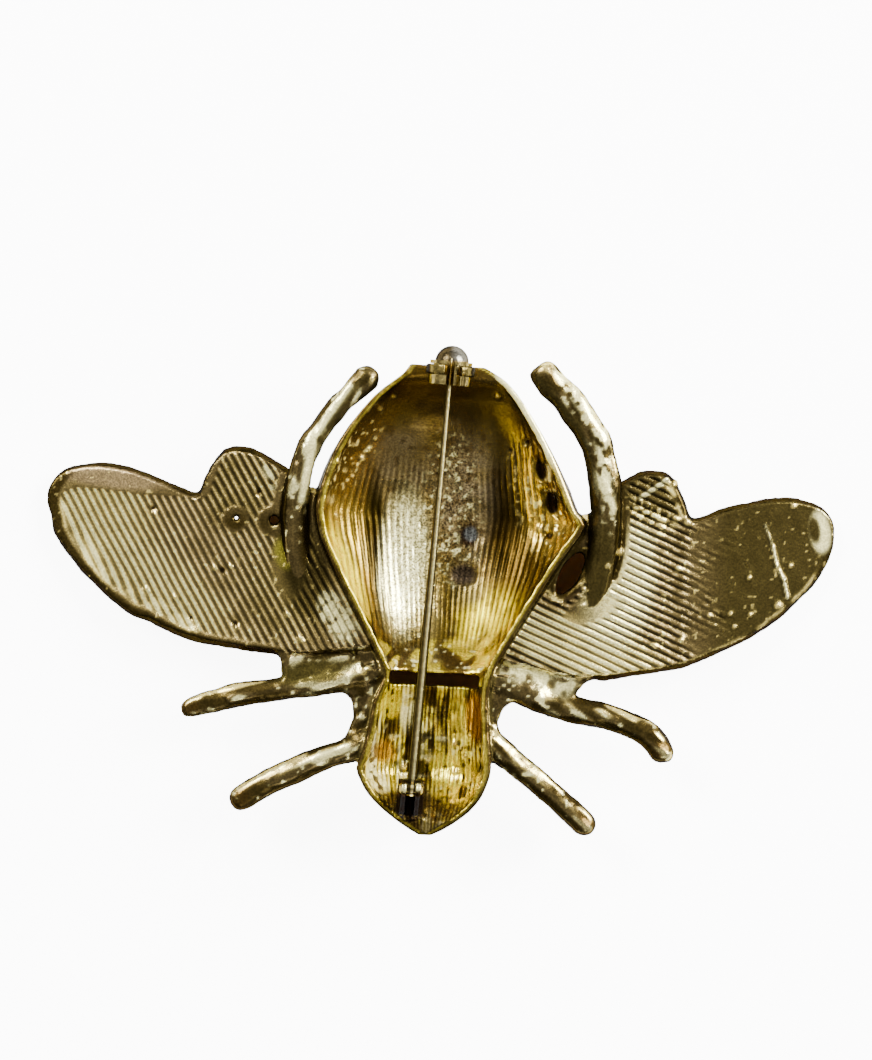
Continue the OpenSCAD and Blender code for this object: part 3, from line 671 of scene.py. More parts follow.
# %% Lay the broad stains of the hollow
# tarnish and stains mixed with painted light: glare, sheen, bright walls and painted shade
STAINS_AND_PAINTED_LIGHT = (
    (450, 395, 100, 50, 0, BROWN, 0.85), (440, 378, 60, 16, 0, AMBER, 0.5),
    (350, 455, 34, 60, 35, AMBER, 0.8), (398, 465, 46, 44, 20, COOL_GREY, 0.6),
    (490, 430, 44, 56, -10, OLIVE, 0.6), (455, 430, 26, 50, 0, BROWN, 0.5),
    (470, 510, 46, 74, 0, COOL_GREY, 0.75), (404, 556, 26, 64, 2, WHITE_GOLD, 0.9),
    (428, 600, 16, 50, 2, CHAMPAGNE, 0.7), (372, 560, 13, 90, -8, AMBER, 0.75),
    (341, 575, 16, 66, -20, YELLOW, 1.0), (330, 505, 12, 24, -8, GOLD, 0.7),
    (490, 616, 40, 24, -38, YELLOW, 0.7), (470, 590, 26, 22, -20, OLIVE, 0.8),
    (512, 556, 30, 46, 12, AMBER, 0.9), (527, 500, 11, 50, 0, GOLD, 0.9),
    (505, 480, 13, 70, 0, BROWN, 0.5), (556, 530, 20, 26, 25, GOLD, 0.9),
    (545, 590, 8, 50, 34, GOLD, 0.9), (552, 470, 12, 56, -24, AMBER, 0.9),
    (388, 650, 16, 20, 0, AMBER, 0.9), (425, 655, 24, 10, 0, CREAM, 0.5),
    (462, 655, 26, 12, 0, AMBER, 0.8), (490, 655, 10, 16, 0, YELLOW, 0.8),
    (388, 700, 15, 20, 0, YELLOW, 1.0), (408, 715, 9, 22, 0, WHITE_GOLD, 0.95),
    (445, 710, 24, 26, 0, GREY_BROWN, 0.6), (474, 715, 7, 20, 0, ORANGE, 0.9),
    (381, 750, 10, 10, 0, ORANGE, 0.9), (388, 775, 16, 20, 0, YELLOW, 0.9),
    (462, 748, 16, 16, 0, BROWN, 0.7), (462, 778, 20, 20, -30, GOLD, 1.0),
    (430, 750, 22, 26, 0, CHAMPAGNE, 0.7), (372, 788, 12, 16, 40, CREAM, 0.8),
    (418, 812, 34, 18, 0, AMBER, 1.0), (411, 803, 13, 12, 0, BROWN, 0.9),
    (475, 790, 10, 16, 30, ORANGE, 0.6),
)
MATT = ((WHITE_GOLD, 0.45), (CREAM, 0.3), (YELLOW, 0.1), (GREY_BROWN, 0.35), (COOL_GREY, 0.35))
lay(hollow, GOLD * 0.4)
ragged = 1 + 0.35 * cloud(co, 1.3, 31)
for cx, cy, wide, high, turn, tone, strength in STAINS_AND_PAINTED_LIGHT:
    dull = next((matt for known, matt in MATT if tone is known), 0.2)
    lay(hollow * patch(cx, cy, wide, high, turn, 0.6) * (strength * ragged), tone, dull)
print("stains", len(STAINS_AND_PAINTED_LIGHT))

# %% [markdown]
# ## Lines and specks of the hollow
# The ruled lines are drawn as on the wings, with painted highlights on the crests and painted
# shade in the valleys, darker on the left wall and to the right of the middle. The middle itself
# is rough from the pour: bright specks, which are painted glints, on brown.

# %% Lines and specks
hollow_lined = hollow * np.clip(hollow_groove, 0, 1) * (1 - 0.3 * thorax)
# painted highlight on the crests, strongest on the lower right wall
bright_line = bright_line + hollow_lined * (1.0 + 1.2 * patch(490, 612, 44, 30, -38))
# painted shade in the valleys
valley_shading = 0.55 + 0.25 * patch(343, 575, 20, 66, -20)
valley_shading = valley_shading + 0.35 * patch(372, 550, 26, 90, -6) + 0.3 * patch(505, 490, 14, 80)
dark_line = dark_line + hollow_lined * valley_shading
grain = cloud(co, 0.24, 32)
speckle = hollow * np.clip(patch(452, 512, 30, 80) + patch(408, 570, 30, 90), 0, 1)
off_glare = (py > 480) * (1 - patch(404, 566, 30, 70))
lay(hollow * blots(1.2, 48, 0.1, 0.5, (1, 0.7, 1)) * off_glare * 0.55, OLIVE * 0.6)
# painted glints: white specks in the rough middle
lay(speckle * ramp(grain, 0.34, 0.5) * 0.8, WHITE_GOLD, 0.3)
lay(speckle * ramp(-grain, 0.2, 0.6) * 0.7, BROWN * 1.4)
lay(hollow * blots(0.5, 35, 0.35, 0.7) * 0.6, BROWN * 1.5)
lay(hollow * patch(340, 570, 22, 80, -20) * blots(0.4, 36, 0.45, 0.7) * 0.8, AMBER)
print("speckled points", int((speckle > 0.3).sum()))

# %% [markdown]
# ## The thorax
# The smaller hollow is streaked lengthwise: saturated yellow and white on the ridges as painted
# highlights, red-brown painted shade between. The streaks follow the stripes already carved into
# the mesh. Over a row at the lower end, where a lamp mirrors, shade is painted.

# %% Colour the thorax
lower_half = ramp(py, 715, 740)
streaky = stripe + 0.25 * hollow_wave
# painted highlights on the ridges
lay(thorax * ramp(streaky, -0.1, 0.2) * 0.95, YELLOW * 0.8 + WHITE_GOLD * 0.2, 0.3)
lay(thorax * ramp(streaky, 0.25, 0.5) * ramp(-px, -450, -420), WHITE_GOLD, 0.6)
lay(thorax * patch(388, 700, 14, 22) * blots(0.5, 50, -0.6, 0), YELLOW, 0.4)
lay(thorax * patch(408, 712, 9, 24) * blots(0.5, 51, -0.7, -0.1), WHITE_GOLD, 0.7)
# painted shade between the ridges
lay(thorax * ramp(-streaky, 0.25, 0.5) * 0.9, BROWN * 1.3)
# painted glints in the lower half
lay(thorax * blots(0.4, 39, 0.3, 0.6) * lower_half, WHITE_GOLD, 0.3)
lay(thorax * ramp(-cloud(co, 0.45, 40), 0.2, 0.5) * lower_half * 0.9, BROWN)
# painted shade over the row where a lamp mirrors
lay(thorax * patch(430, 768, 55, 9) * blots(0.6, 46, -0.4, 0.1), AMBER)
lay(thorax * patch(474, 715, 9, 24) * 0.8, ORANGE)
lay(thorax * ramp(py, 786, 800) * 0.9, BROWN, 0.3)
# more painted shade over that row and in the valleys
dim(thorax * patch(440, 769, 62, 10), 0.2)
dim(thorax * ramp(-streaky, 0.0, 0.3), 0.5)
dim(thorax * blots(0.5, 63, 0.3, 0.55) * ramp(py, 718, 740), 0.3)
dim(thorax * patch(448, 722, 22, 40, 0, 0.6) * blots(0.5, 64, -0.3, 0.2, (2, 0.5, 1)), 0.35)
lay(thorax * patch(476, 718, 9, 24) * 0.9, ORANGE * 0.9, 0.1)
lay(thorax * patch(384, 752, 13, 12) * 0.9, ORANGE * 0.8, 0.1)
lay(thorax * patch(390, 700, 12, 22) * blots(0.45, 65, -0.3, 0.1) * 0.9, YELLOW, 0.2)
golden = patch(452, 776, 26, 30, -30) * blots(0.5, 66, -0.4, 0.1, (1.6, 0.6, 1))
lay(thorax * golden * 0.9, HONEY, 0.2)
lay(thorax * patch(412, 800, 22, 18), BROWN * 0.8, 0.3)
print("thorax points", int(thorax.sum()))

# %% [markdown]
# ## Shadows and yellow walls of the abdomen
# Some places mirror a lamp so strongly that a dark tone doesn't calm them, so the second brush
# paints shade over them. The low end, beside the slot, is lumpy, with slanted marks: a painted
# highlight on their raised side, painted shade on the low side and small painted glints. The
# glare at the middle left is a painted highlight.

# %% Deepen the abdomen
# painted shade on the right wall, where a lamp mirrors
lay(hollow * patch(518, 540, 32, 66, 4, 0.7) * 0.85, AMBER * 0.5)
for *oval, share in (
    (377, 545, 13, 84, -4, 0.5, 0.10), (516, 540, 26, 70, 4, 0.6, 0.45),
    (497, 520, 14, 90, 2, 0.6, 0.4),
):
    dim(hollow * patch(*oval), share)
lay(hollow * patch(533, 500, 9, 46, -6) * blots(0.6, 54, -0.5, 0.1, (1, 0.4, 1)), GOLD * 0.9)
# the yellow wall, its deep yellow partly painted reflection
lay(hollow * patch(344, 582, 14, 62, -20, 0.6) * 0.75, YELLOW, 0.1)
for *oval, share in (
    (455, 608, 22, 46, 4, 0.7, 0.35), (402, 466, 40, 34, 0, 0.7, 0.65),
    (490, 616, 42, 26, -38, 0.5, 0.75), (406, 646, 24, 26, 0, 0.7, 0.35),
    (437, 640, 14, 30, 0, 0.7, 0.5),
):
    dim(hollow * patch(*oval), share)
dim(hollow * patch(372, 640, 16, 30, -25, 0.6) * blots(0.7, 52, -0.4, 0.2), 0.25)
lay(hollow * patch(545, 590, 8, 50, 34) * 0.8, AMBER)
# painted highlight and shade on the slanted marks, with painted glints
lay(low_hollow * ramp(slanted, 0.0, 0.3) * 0.85, HONEY, 0.2)
lay(low_hollow * ramp(-slanted, 0.1, 0.4) * 0.85, BROWN * 1.6)
lay(low_hollow * blots(0.35, 60, 0.45, 0.7) * 0.8, WHITE_GOLD, 0.4)
lay(hollow * patch(345, 460, 34, 66, 32, 0.7) * 0.7, AMBER * 0.9)
# painted highlight: the glare
lay(hollow * patch(404, 566, 22, 62, 2, 0.8) * 0.85, WHITE_GOLD, 0.3)
print("darkest tone", round(float(colour.min()), 4))

# %% [markdown]
# ## Recesses, side holes, pits and nodules
# The abdomen has a blue-grey round mark and a brown oval one, both without shine, and two
# holes in its right wall, painted dark inside and round their edges as shade, with a painted
# highlight on the edge between them. Every pit is painted dark as shade and every nodule is
# bright, and no line is drawn across them.

# %% Colour the marks
BLUE_GREY = np.array((0.052, 0.054, 0.050))
OVAL_BROWN = np.array((0.034, 0.024, 0.013))
OVAL_CORE_BROWN = np.array((0.014, 0.010, 0.006))
RECESSES = (
    (469, 536, 14, 15, 0.5, 1.0, DARK, 0.4), (471, 534, 8, 8, 0.4, 1.0, BLUE_GREY, 0.6),
    (464, 575, 17, 13, 0.5, 1.0, OVAL_BROWN, 0.9), (464, 573, 11, 8, 0.6, 0.7, OVAL_CORE_BROWN, 0.9),
)
for cx, cy, wide, high, softness, strength, tone, dull in RECESSES:
    lay(hollow * patch(cx, cy, wide, high, 0, softness) * strength, tone, dull)
lay(wall_lumps * blots(0.35, 33, 0.35, 0.6), CREAM, 0.3)
# painted shade in and round the two side holes, and a painted highlight on the edge between them
for hole in ((541, 470, 6.5, 12, -14, 0.3), (552, 503, 8, 13, -8, 0.3)):
    lay(hollow * patch(*hole), DARK * 0.5, 0.6)
lay(hollow * near_line(548, 466, 550, 480, 3), CREAM, 0.4)
# pits painted dark as shade; nodules bright
for cx, cy, wide, high in MARKS:
    spot = patch(cx, cy, wide * 0.7, wide * 0.7, 0, 0.6) * facing
    lay(spot * (0.8 if high > 0 else 1.0), CREAM if high > 0 else DARK)
    bright_line = bright_line * (1 - spot)
print("recesses", len(RECESSES), "spots", len(MARKS))

# %% [markdown]
# ## The rim, the hinge and the bead
# The rim is dark with a thin bright line, a painted highlight, on its inner edge, and a painted
# glint beside the right leg. The hinge is a dark box, its lower part painted shade, with two
# painted highlights. The bead at the tail is dark brown, with its right side painted grey as a
# reflection.

# %% Colour the rim, hinge and bead
BEAD_DARK = np.array((0.060, 0.045, 0.020))
BEAD_REFLECTION_GREY = np.array((0.15, 0.14, 0.11))
BEAD = (0.2, 18.9)
rim_face = (up > 0.3) * (z > 5.5)
rim_line = (1 - ramp(np.abs(inward - 0.42), 0.08, 0.2)) * rim_face
lay((np.abs(inward) < 0.7) * rim_face * blots(0.7, 37, -0.8, -0.1) * 0.9, BROWN)
# painted highlight along the rim's inner edge
lay(rim_line * (0.45 + 0.5 * blots(0.9, 61, -0.3, 0.3)), YELLOW * 0.45 + CREAM * 0.2)
dim(rim_face * (np.abs(inward) < 0.8) * ramp(py, 790, 806), 0.5)
# painted glint on the rim beside the right leg
lay(rim_face * (np.abs(inward + 0.1) < 0.75) * near_line(500, 384, 556, 460, 14), WHITE_GOLD, 0.5)
lay(rim_face * (np.abs(inward + 0.1) < 0.6) * near_line(556, 460, 580, 512, 10) * 0.8, CREAM, 0.4)
in_hinge = machined & (y < 0)
lay(in_hinge, BROWN * 0.7, 0.1)
# painted shade on the hinge's lower part; painted highlights on its two ears
lay(in_hinge * ramp(py, 792, 797), DARK * 0.6, 0.3)
lay(in_hinge * (patch(405, 787, 5, 4) + patch(418, 786, 5, 4)), WHITE_GOLD, 0.3)
bead = (np.hypot(x - BEAD[0], y - BEAD[1]) < 1.6) & (~in_body) & (~machined)
lay(bead, BEAD_DARK)
# painted reflection: the bead's right side is grey
lay(bead * ramp(px, 449, 456), BEAD_REFLECTION_GREY)
print("bead points", int(bead.sum()))

# %% [markdown]
# ## How rough each place is
# Brighter tones, worn metal and painted highlights alike, are smoother than tarnish. The two
# yellow walls and the glare are matt, so that a lamp spreads over them and doesn't leave a hard
# white spot.

# %% Roughness of each tone
sheen = 0.18 - 0.03 * ramp(colour.mean(axis=1), 0.1, 0.6) + 0.04 * cloud(co, 0.8, 41)
sheen = sheen + 0.06 * (up < -0.2)
matt_walls = 0.22 * patch(341, 575, 24, 70, -20) + 0.20 * patch(488, 614, 46, 30, -38)
sheen += hollow * (matt_walls + 0.08 * patch(404, 560, 24, 80))
sheen = np.clip(sheen, 0.14, 0.5)
print("roughness", round(float(sheen.min()), 2), "to", round(float(sheen.max()), 2))

# %% [markdown]
# ## Hand the values to the shader
# A shader can read any value that is stored on the points of a mesh. The tint is a colour, and
# the rest are plain numbers, stored under the names that the material asks for.

# %% Store everything on the points
NUMBERS = {
    "sheen": sheen,
    "bare": 1 - np.clip(frost, 0, 1),
    "line_count": np.where(wing, wing_count, hollow_count),
    "bright_line": np.clip(bright_line, 0, 8),
    "dark_line": np.clip(dark_line, 0, 0.9),
    "speckle": 0.35 + 0.65 * np.clip(speckle, 0, 1),
}
tint_layer = work.data.attributes.new("tint", "FLOAT_COLOR", "POINT")
tint_layer.data.foreach_set("color", np.hstack([colour, np.ones((len(co), 1))]).ravel())
for label, numbers in NUMBERS.items():
    work.data.attributes.new(label, "FLOAT", "POINT").data.foreach_set("value", numbers)
print("stored", len(work.data.attributes), "attributes")

# %% [markdown]
# ## Materials
# All the metals share the same small-scale life: a grain whose tone is darker in its low spots
# and lighter on its high ones.
# That is a node group, built once. The Principled shader stays in each material, so every
# metal keeps its own numbers. A few helpers make the nodes, so that a recipe stays short.

# %% Helpers for shader nodes


def add_node(tree, kind, inputs, out=0, **settings):
    """Makes a shader node, sets or links its inputs, and returns one of its outputs."""
    made = tree.nodes.new("ShaderNode" + kind)
    for name, value in settings.items():
        setattr(made, name, value)
    for label, value in inputs.items():
        if isinstance(value, bpy.types.NodeSocket):
            tree.links.new(value, made.inputs[label])
        else:
            made.inputs[label].default_value = value
    return made.outputs[out]


def calculate(tree, operation, *values):
    """The result of a maths node, from links or plain numbers."""
    return add_node(tree, "Math", dict(enumerate(values)), operation=operation)


def rescale(tree, value, low, high, to_low=0.0, to_high=1.0):
    """Maps the range from low to high onto another one."""
    return add_node(tree, "MapRange", {
        "Value": value, "From Min": low, "From Max": high, "To Min": to_low, "To Max": to_high})


def colour_ramp(tree, factor, stops):
    """A colour ramp's result; each stop is a position and a colour."""
    tones = add_node(tree, "ValToRGB", {"Fac": factor}, "Color")
    elements = tones.node.color_ramp.elements
    elements[0].position, elements[0].color = stops[0]
    elements[1].position, elements[1].color = stops[-1]
    for position, tone in stops[1:-1]:
        elements.new(position).color = tone
    return tones


print("shader helpers ready")

# %% A node group for the fine grain of cast metal
GRAIN_INPUTS = {"Color": (0.5, 0.4, 0.2, 1), "Roughness": 0.3, "Scale": 9000, "Wear": 0.3}
GRAIN_RESULTS = ("Color", "Roughness", "Height")

grain_group = bpy.data.node_groups.new("fine_metal_grain", "ShaderNodeTree")


def add_socket(label, way):
    """A colour or a number that goes into the grain group or out of it."""
    kind = "NodeSocketColor" if label == "Color" else "NodeSocketFloat"
    return grain_group.interface.new_socket(label, in_out=way, socket_type=kind)


for label, value in GRAIN_INPUTS.items():
    add_socket(label, "INPUT").default_value = value
for label in GRAIN_RESULTS:
    add_socket(label, "OUTPUT")
g_in = grain_group.nodes.new("NodeGroupInput")
g_out = grain_group.nodes.new("NodeGroupOutput")
tone_in, rough_in, scale_in, wear_in = (g_in.outputs[label] for label in GRAIN_INPUTS)
place = add_node(grain_group, "TexCoord", {}, "Object")
fine = add_node(grain_group, "TexNoise", {"Detail": 4, "Vector": place, "Scale": scale_in}, "Fac")
broad_scale = calculate(grain_group, "MULTIPLY", scale_in, 0.18)
broad = add_node(grain_group, "TexNoise", {
    "Detail": 3, "Vector": place, "Scale": broad_scale}, "Fac")
shade = rescale(grain_group, fine, 0.38, 0.62, 0.25, 2.0)
shaded = add_node(grain_group, "VectorMath", {0: tone_in, "Scale": shade}, operation="SCALE")
worn_tone = add_node(grain_group, "Mix", {
    "Factor": wear_in, "A": tone_in, "B": shaded}, "Result", data_type="RGBA")
rough_here = calculate(grain_group, "MULTIPLY_ADD", broad, 0.10, rough_in)
for label, result in zip(GRAIN_RESULTS, (worn_tone, rough_here, fine)):
    grain_group.links.new(result, g_out.inputs[label])
print("group", grain_group.name, "with", len(grain_group.nodes), "nodes")

# %% [markdown]
# ## Lines sharper than the mesh
# The mesh carries the grooves' shape, but its points are too far apart for the thin bright
# crests in the photograph. So the points store how many lines lie before them, and the shader
# turns that count into a wave. Powers of the wave make narrow crests with a painted highlight
# and valleys with painted shade.

# %% Draw the lines in the shader
SHINIEST_CREST = (1, 0.90, 0.38)


def lines_over(tree, tint, stored):
    """The stored tint with painted highlights on thin crests and painted shade in the valleys."""
    turns = calculate(tree, "MULTIPLY", stored["line_count"], 2 * math.pi)
    height = calculate(tree, "MULTIPLY_ADD", calculate(tree, "SINE", turns), 0.5, 0.5)
    crest = calculate(tree, "POWER", height, 2.4)
    valley = calculate(tree, "POWER", calculate(tree, "SUBTRACT", 1.0, height), 2.0)
    lighter = calculate(tree, "MULTIPLY_ADD", crest, stored["bright_line"], 1.0)
    # painted shade in the valleys
    valley_shade = calculate(tree, "MULTIPLY", valley, stored["dark_line"])
    gain = calculate(tree, "MULTIPLY", lighter, calculate(tree, "SUBTRACT", 1.0, valley_shade))
    scaled = add_node(tree, "VectorMath", {0: tint, "Scale": gain}, operation="SCALE")
    return add_node(tree, "VectorMath", {0: scaled, 1: SHINIEST_CREST}, operation="MINIMUM")


print("crests capped at", SHINIEST_CREST)

# %% [markdown]
# ## Four metals
# The casting is gilt and worn, and its tone holds painted highlights and shade as well, so its
# tone and roughness come from the points. The rivet and the catch are plainer stock findings, and
# so is the stem until its painted highlight is drawn. The tone, still without its grain, is the
# specular tint too, or tarnish would mirror the lamps white.

# %% Make the metals
BUMP_DEPTH = 0.00006


def metal(name, base, rough, grain_scale, wear, bump, metallic=1.0, from_points=False):
    """A gilt metal: plain tone or the tone stored on the points, with the shared grain."""
    mat = bpy.data.materials.new(name)
    mat.use_nodes = True
    tree = mat.node_tree
    join = tree.links.new
    shader = tree.nodes["Principled BSDF"]
    shader.inputs["Metallic"].default_value = metallic
    shader.inputs["Specular Tint"].default_value = (*base, 1)
    grain_node = tree.nodes.new("ShaderNodeGroup")
    grain_node.node_tree = grain_group
    plain = {"Color": (*base, 1), "Roughness": rough, "Scale": grain_scale, "Wear": wear}
    for label, value in plain.items():
        grain_node.inputs[label].default_value = value
    if from_points:
        tint = add_node(tree, "Attribute", {}, "Color", attribute_name="tint")
        stored = {layer: add_node(tree, "Attribute", {}, "Fac", attribute_name=layer)
                  for layer in NUMBERS}
        lined = lines_over(tree, tint, stored)
        join(lined, grain_node.inputs["Color"])
        join(lined, shader.inputs["Specular Tint"])
        join(stored["sheen"], grain_node.inputs["Roughness"])
        join(stored["speckle"], grain_node.inputs["Wear"])
        join(stored["bare"], shader.inputs["Metallic"])
    join(grain_node.outputs["Color"], shader.inputs["Base Color"])
    join(grain_node.outputs["Roughness"], shader.inputs["Roughness"])
    height = grain_node.outputs["Height"]
    relief = add_node(tree, "Bump", {"Strength": bump, "Distance": BUMP_DEPTH, "Height": height})
    join(relief, shader.inputs["Normal"])
    return mat


cast_gilt = metal("cast_gilt", tuple(GOLD), 0.3, 6500, 0.35, 0.3, 0.92, True)
wire_gilt = metal("wire_gilt", (0.42, 0.32, 0.09), 0.17, 3000, 0.2, 0.15)
catch_gilt = metal("catch_gilt", (0.30, 0.235, 0.08), 0.16, 3000, 0.28, 0.25)
stem_gilt = metal("stem_gilt", (0.42, 0.32, 0.09), 0.17, 3000, 0.2, 0.15)
print("materials", [m.name for m in (cast_gilt, wire_gilt, stem_gilt, catch_gilt)])

# %% [markdown]
# ## The painted highlight along the stem
# The wire is painted dark at its sides, as shade, with a narrow painted highlight along it where
# a round wire mirrors the light. A mapping node lays the shader's own grid along the stem, with
# its origin at the hinge and one unit for the stem's width, and a colour ramp reads how far
# across the wire each place is.

# %% Draw the painted highlight
STEM_TURN = math.radians(-2.4)
STEM_WIDTH = 0.8 * MM
STEM_HIGHLIGHT = (0.95, 0.78, 0.33, 1)
# painted shade at both sides of the wire and a painted highlight between
STEM_STOPS = (
    (0.42, (0.085, 0.062, 0.017, 1)), (0.52, STEM_HIGHLIGHT),
    (0.70, STEM_HIGHLIGHT), (0.80, (0.05, 0.036, 0.010, 1)),
)

stem_tree = stem_gilt.node_tree
along_stem = add_node(stem_tree, "Mapping", {
    "Vector": add_node(stem_tree, "TexCoord", {}, "Object"),
    "Location": (HINGE[0] * MM, HINGE[1] * MM, 0),
    "Rotation": (0, 0, STEM_TURN),
    "Scale": (STEM_WIDTH, 1, 1),
}, vector_type="TEXTURE")
across_stem = add_node(stem_tree, "SeparateXYZ", {"Vector": along_stem}, "X")
stem_light_and_shade = colour_ramp(stem_tree, calculate(stem_tree, "ADD", across_stem, 0.5), STEM_STOPS)
stem_grain = next(n for n in stem_tree.nodes if n.type == "GROUP")
stem_tree.links.new(stem_light_and_shade, stem_grain.inputs["Color"])
stem_tree.links.new(stem_light_and_shade, stem_tree.nodes["Principled BSDF"].inputs["Specular Tint"])
print("stem tones", len(STEM_STOPS))

# %% [markdown]
# ## Cut the casting into manageable pieces
# One mesh of more than half a million triangles is heavy to handle, so the finished casting is
# cut with planes beyond the body, across the belly and at the waist, and the cuts are closed
# inside the metal. The outer skins meet point for point, and each piece keeps the normals of
# the uncut skin, so no seam shows.

# %% Cut and dress the casting
WING_CUT = 12.4
WAIST = (0, -7.2, 0)
BELLY = (0, 6.0, 0)
CAP_CORNERS = 6

skin_layer = work.data.attributes.new("skin_normal", "FLOAT_VECTOR", "POINT")
skin_layer.data.foreach_set("vector", normals_of(work.data).ravel())


def keep_skin_normals(mesh):
    """Shades a cut piece with the uncut skin's normals, so that the cut doesn't show."""
    normals = np.empty(len(mesh.vertices) * 3)
    mesh.attributes["skin_normal"].data.foreach_get("vector", normals)
    normals = normals.reshape(-1, 3)
    normals /= np.maximum(np.linalg.norm(normals, axis=1), 1e-9)[:, None]
    mesh.normals_split_custom_set_from_vertices(normals.tolist())
    mesh.attributes.remove(mesh.attributes["skin_normal"])


def cut_piece(name, planes):
    """The part of the casting that lies behind all the planes, back in metres, closed."""
    part = bmesh.new()
    part.from_mesh(work.data)
    for place, way in planes:
        everything = part.verts[:] + part.edges[:] + part.faces[:]
        cut = bmesh.ops.bisect_plane(
            part, geom=everything, plane_co=place, plane_no=way, clear_outer=True)
        ring = [e for e in cut["geom_cut"] if isinstance(e, bmesh.types.BMEdge)]
        bmesh.ops.holes_fill(part, edges=ring, sides=0)
    bmesh.ops.scale(part, vec=(MM, MM, MM), verts=part.verts)
    for face in part.faces:
        face.smooth = len(face.verts) < CAP_CORNERS
    mesh = bpy.data.meshes.new(name)
    part.to_mesh(mesh)
    part.free()
    keep_skin_normals(mesh)
    mesh.materials.append(cast_gilt)
    piece = add_object(name, mesh)
    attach(piece, "brooch")
    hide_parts("casting")
    mesh.calc_loop_triangles()
    print(name, len(mesh.loop_triangles), "triangles")


sides = [((-WING_CUT, 0, 0), (-1, 0, 0)), ((WING_CUT, 0, 0), (1, 0, 0))]
cut_piece("left_wing_gilt", [((-WING_CUT, 0, 0), (1, 0, 0))])
cut_piece("right_wing_gilt", [((WING_CUT, 0, 0), (-1, 0, 0))])
cut_piece("abdomen_tail_gilt", sides + [(BELLY, (0, -1, 0))])
cut_piece("abdomen_waist_gilt", sides + [(BELLY, (0, 1, 0)), (WAIST, (0, -1, 0))])
cut_piece("thorax_gilt", sides + [(WAIST, (0, 1, 0))])
bpy.data.objects.remove(work)

# %% [markdown]
# ## The pin and the catch
# The stem, the rivet and the barrel are stock findings, already the right shape in the measured
# model, so they only get their metals.

# %% Dress the findings
for node, own_metal in (
    ("pin_stem", stem_gilt), ("hinge_rivet", wire_gilt), ("catch_barrel", catch_gilt),
):
    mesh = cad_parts[node].data
    mesh.materials.clear()
    mesh.materials.append(own_metal)
print("findings dressed")

# %% [markdown]
# ## The floor
# The brooch lies on a pale surface that is overexposed to white in the photograph, so it glows
# for the camera only. Under the openings that look dark in the photograph the glow and the
# paleness stop and a painted shadow takes their place, in three small ovals: a place and its
# reach in metres.

# %% Build the floor
FLOOR_SIZE = 1.5
FLOOR_GLOW = 9.0
PALE = (0.93, 0.93, 0.92, 1)
SHADE = (0.09, 0.05, 0.032, 1)
# painted shadows on the floor under the waist slot, a gap at the right wing's root and a hole in
# the left wing
DARK_OVALS = (
    ((0.0001, -0.0072, 0), (0.0052, 0.0022, 1)),
    ((0.0107, 0.002, 0), (0.0026, 0.0032, 1)),
    ((-0.01361, 0.00516, 0), (0.0009, 0.0009, 1)),
)

bm = bmesh.new()
bmesh.ops.create_grid(bm, x_segments=2, y_segments=2, size=FLOOR_SIZE)
floor_mesh = bpy.data.meshes.new("pale_floor")
bm.to_mesh(floor_mesh)
bm.free()
floor = add_object("pale_floor", floor_mesh)
floor_paint = bpy.data.materials.new("pale_floor")
floor_paint.use_nodes = True
paint = floor_paint.node_tree
floor_shader = paint.nodes["Principled BSDF"]
floor_shader.inputs["Roughness"].default_value = 0.9
floor_shader.inputs["Emission Color"].default_value = (1, 1, 1, 1)
ground = add_node(paint, "TexCoord", {}, "Object")
bright_floor = None
for centre, reach in DARK_OVALS:
    oval = add_node(paint, "Mapping", {
        "Vector": ground, "Location": centre, "Scale": reach}, vector_type="TEXTURE")
    far = add_node(paint, "VectorMath", {0: oval}, "Value", operation="LENGTH")
    outside = rescale(paint, far, 0.85, 1.15)
    both = outside if bright_floor is None else calculate(paint, "MULTIPLY", bright_floor, outside)
    bright_floor = both
seen = add_node(paint, "LightPath", {}, "Is Camera Ray")
glow = calculate(paint, "MULTIPLY", bright_floor, calculate(paint, "MULTIPLY", seen, FLOOR_GLOW))
floor_tone = add_node(paint, "Mix", {
    "Factor": bright_floor, "A": SHADE, "B": PALE}, "Result", data_type="RGBA")
paint.links.new(glow, floor_shader.inputs["Emission Strength"])
paint.links.new(floor_tone, floor_shader.inputs["Base Color"])
floor_mesh.materials.append(floor_paint)
print("floor with", len(DARK_OVALS), "dark ovals")

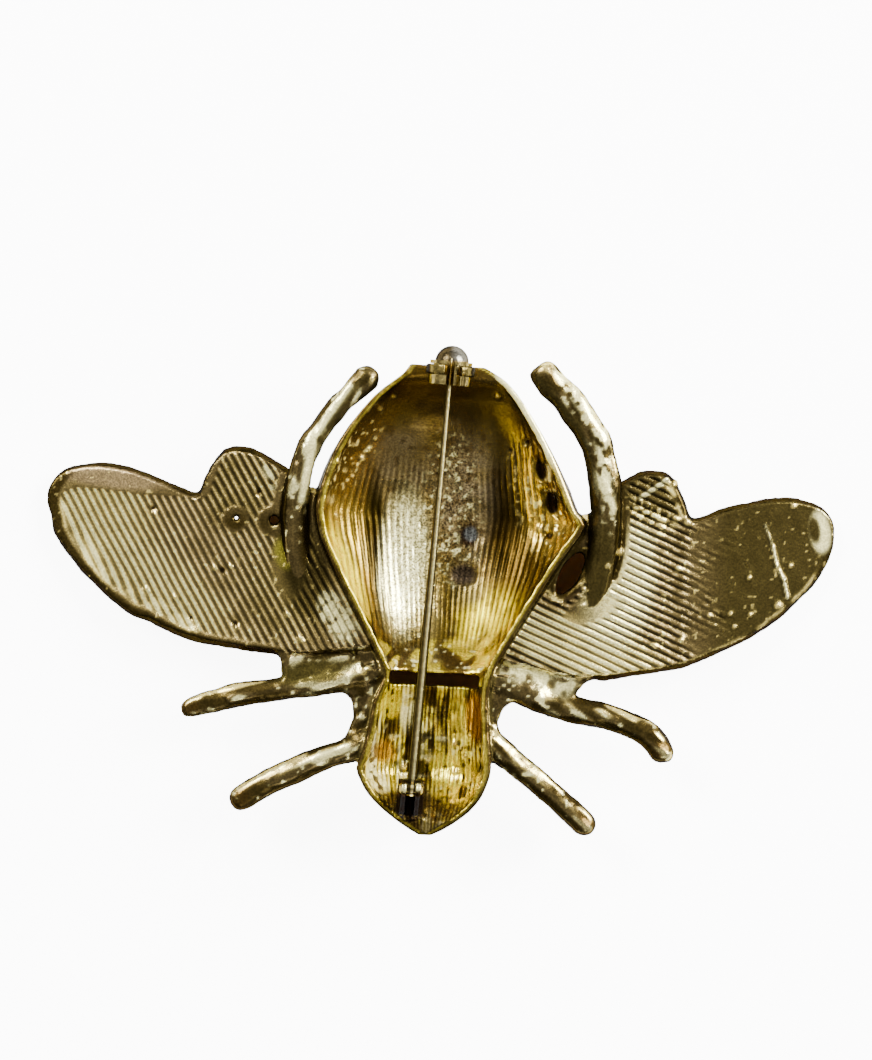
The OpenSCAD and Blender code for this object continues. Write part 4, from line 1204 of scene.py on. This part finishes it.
# %% [markdown]
# ## The room
# Gilt metal shows mostly what it mirrors. A plain grey room would make it look like plastic,
# so the room has bands: a light horizon, a lighter ring near the top and a dark spot straight
# above, where the camera is. Slow noise and a dimmer front side keep the bands uneven.

# %% Paint the room
FLOOR_GREY = (0.16, 0.15, 0.14, 1)
CEILING_GREY = (0.05, 0.048, 0.045, 1)
BANDS = ((0.35, 0.35), (0.62, 0.55), (0.80, 0.40), (0.93, 0.75), (0.985, 0.12))

world = bpy.data.worlds.new("soft_room")
world.use_nodes = True
sky = world.node_tree
background = sky.nodes["Background"]
direction = add_node(sky, "TexCoord", {}, "Generated")
upward = add_node(sky, "SeparateXYZ", {"Vector": direction}, "Z")
backward = upward.node.outputs["Y"]
greys = [(position, (grey, grey * 0.97, grey * 0.92, 1)) for position, grey in BANDS]
banded = colour_ramp(sky, upward, [(0.0, FLOOR_GREY), *greys, (1.0, CEILING_GREY)])
room = add_node(sky, "TexNoise", {"Vector": direction, "Scale": 2.2, "Detail": 1}, "Fac")
contrast = rescale(sky, room, 0.35, 0.65, 0.12, 1.9)
side = rescale(sky, backward, -0.7, 0.5, 0.25, 1.55)
sky.links.new(banded, background.inputs["Color"])
sky.links.new(calculate(sky, "MULTIPLY", contrast, side), background.inputs["Strength"])
bpy.context.scene.world = world
print("room with", len(BANDS), "bands")

# %% [markdown]
# ## Lamps
# The photograph seems lit by a window on the upper right, which makes the glare in the abdomen,
# and by weaker light from the upper left and from below. Every lamp faces the brooch. A row
# is a name, a place and a size in metres, and a power in watts.

# %% Hang the soft boxes
LAMPS = (
    ("window_right", (0.58, 0.30, 0.38), 0.38, 21.0),
    ("window_left", (-0.42, 0.34, 0.46), 0.28, 8.0),
    ("low_front", (0.12, -0.55, 0.45), 0.22, 0.5),
)

for name, place, size, power in LAMPS:
    lamp = bpy.data.lights.new(name, "AREA")
    lamp.size = size
    lamp.energy = power
    holder = add_object(name, lamp)
    holder.location = place
    holder.rotation_euler = (-Vector(place)).to_track_quat("-Z", "Y").to_euler()
print("lamps", [lamp_row[0] for lamp_row in LAMPS])

# %% [markdown]
# ## Finish
# The carving must not make the brooch bigger than the measured model.

# %% Finish
bpy.context.view_layer.update()
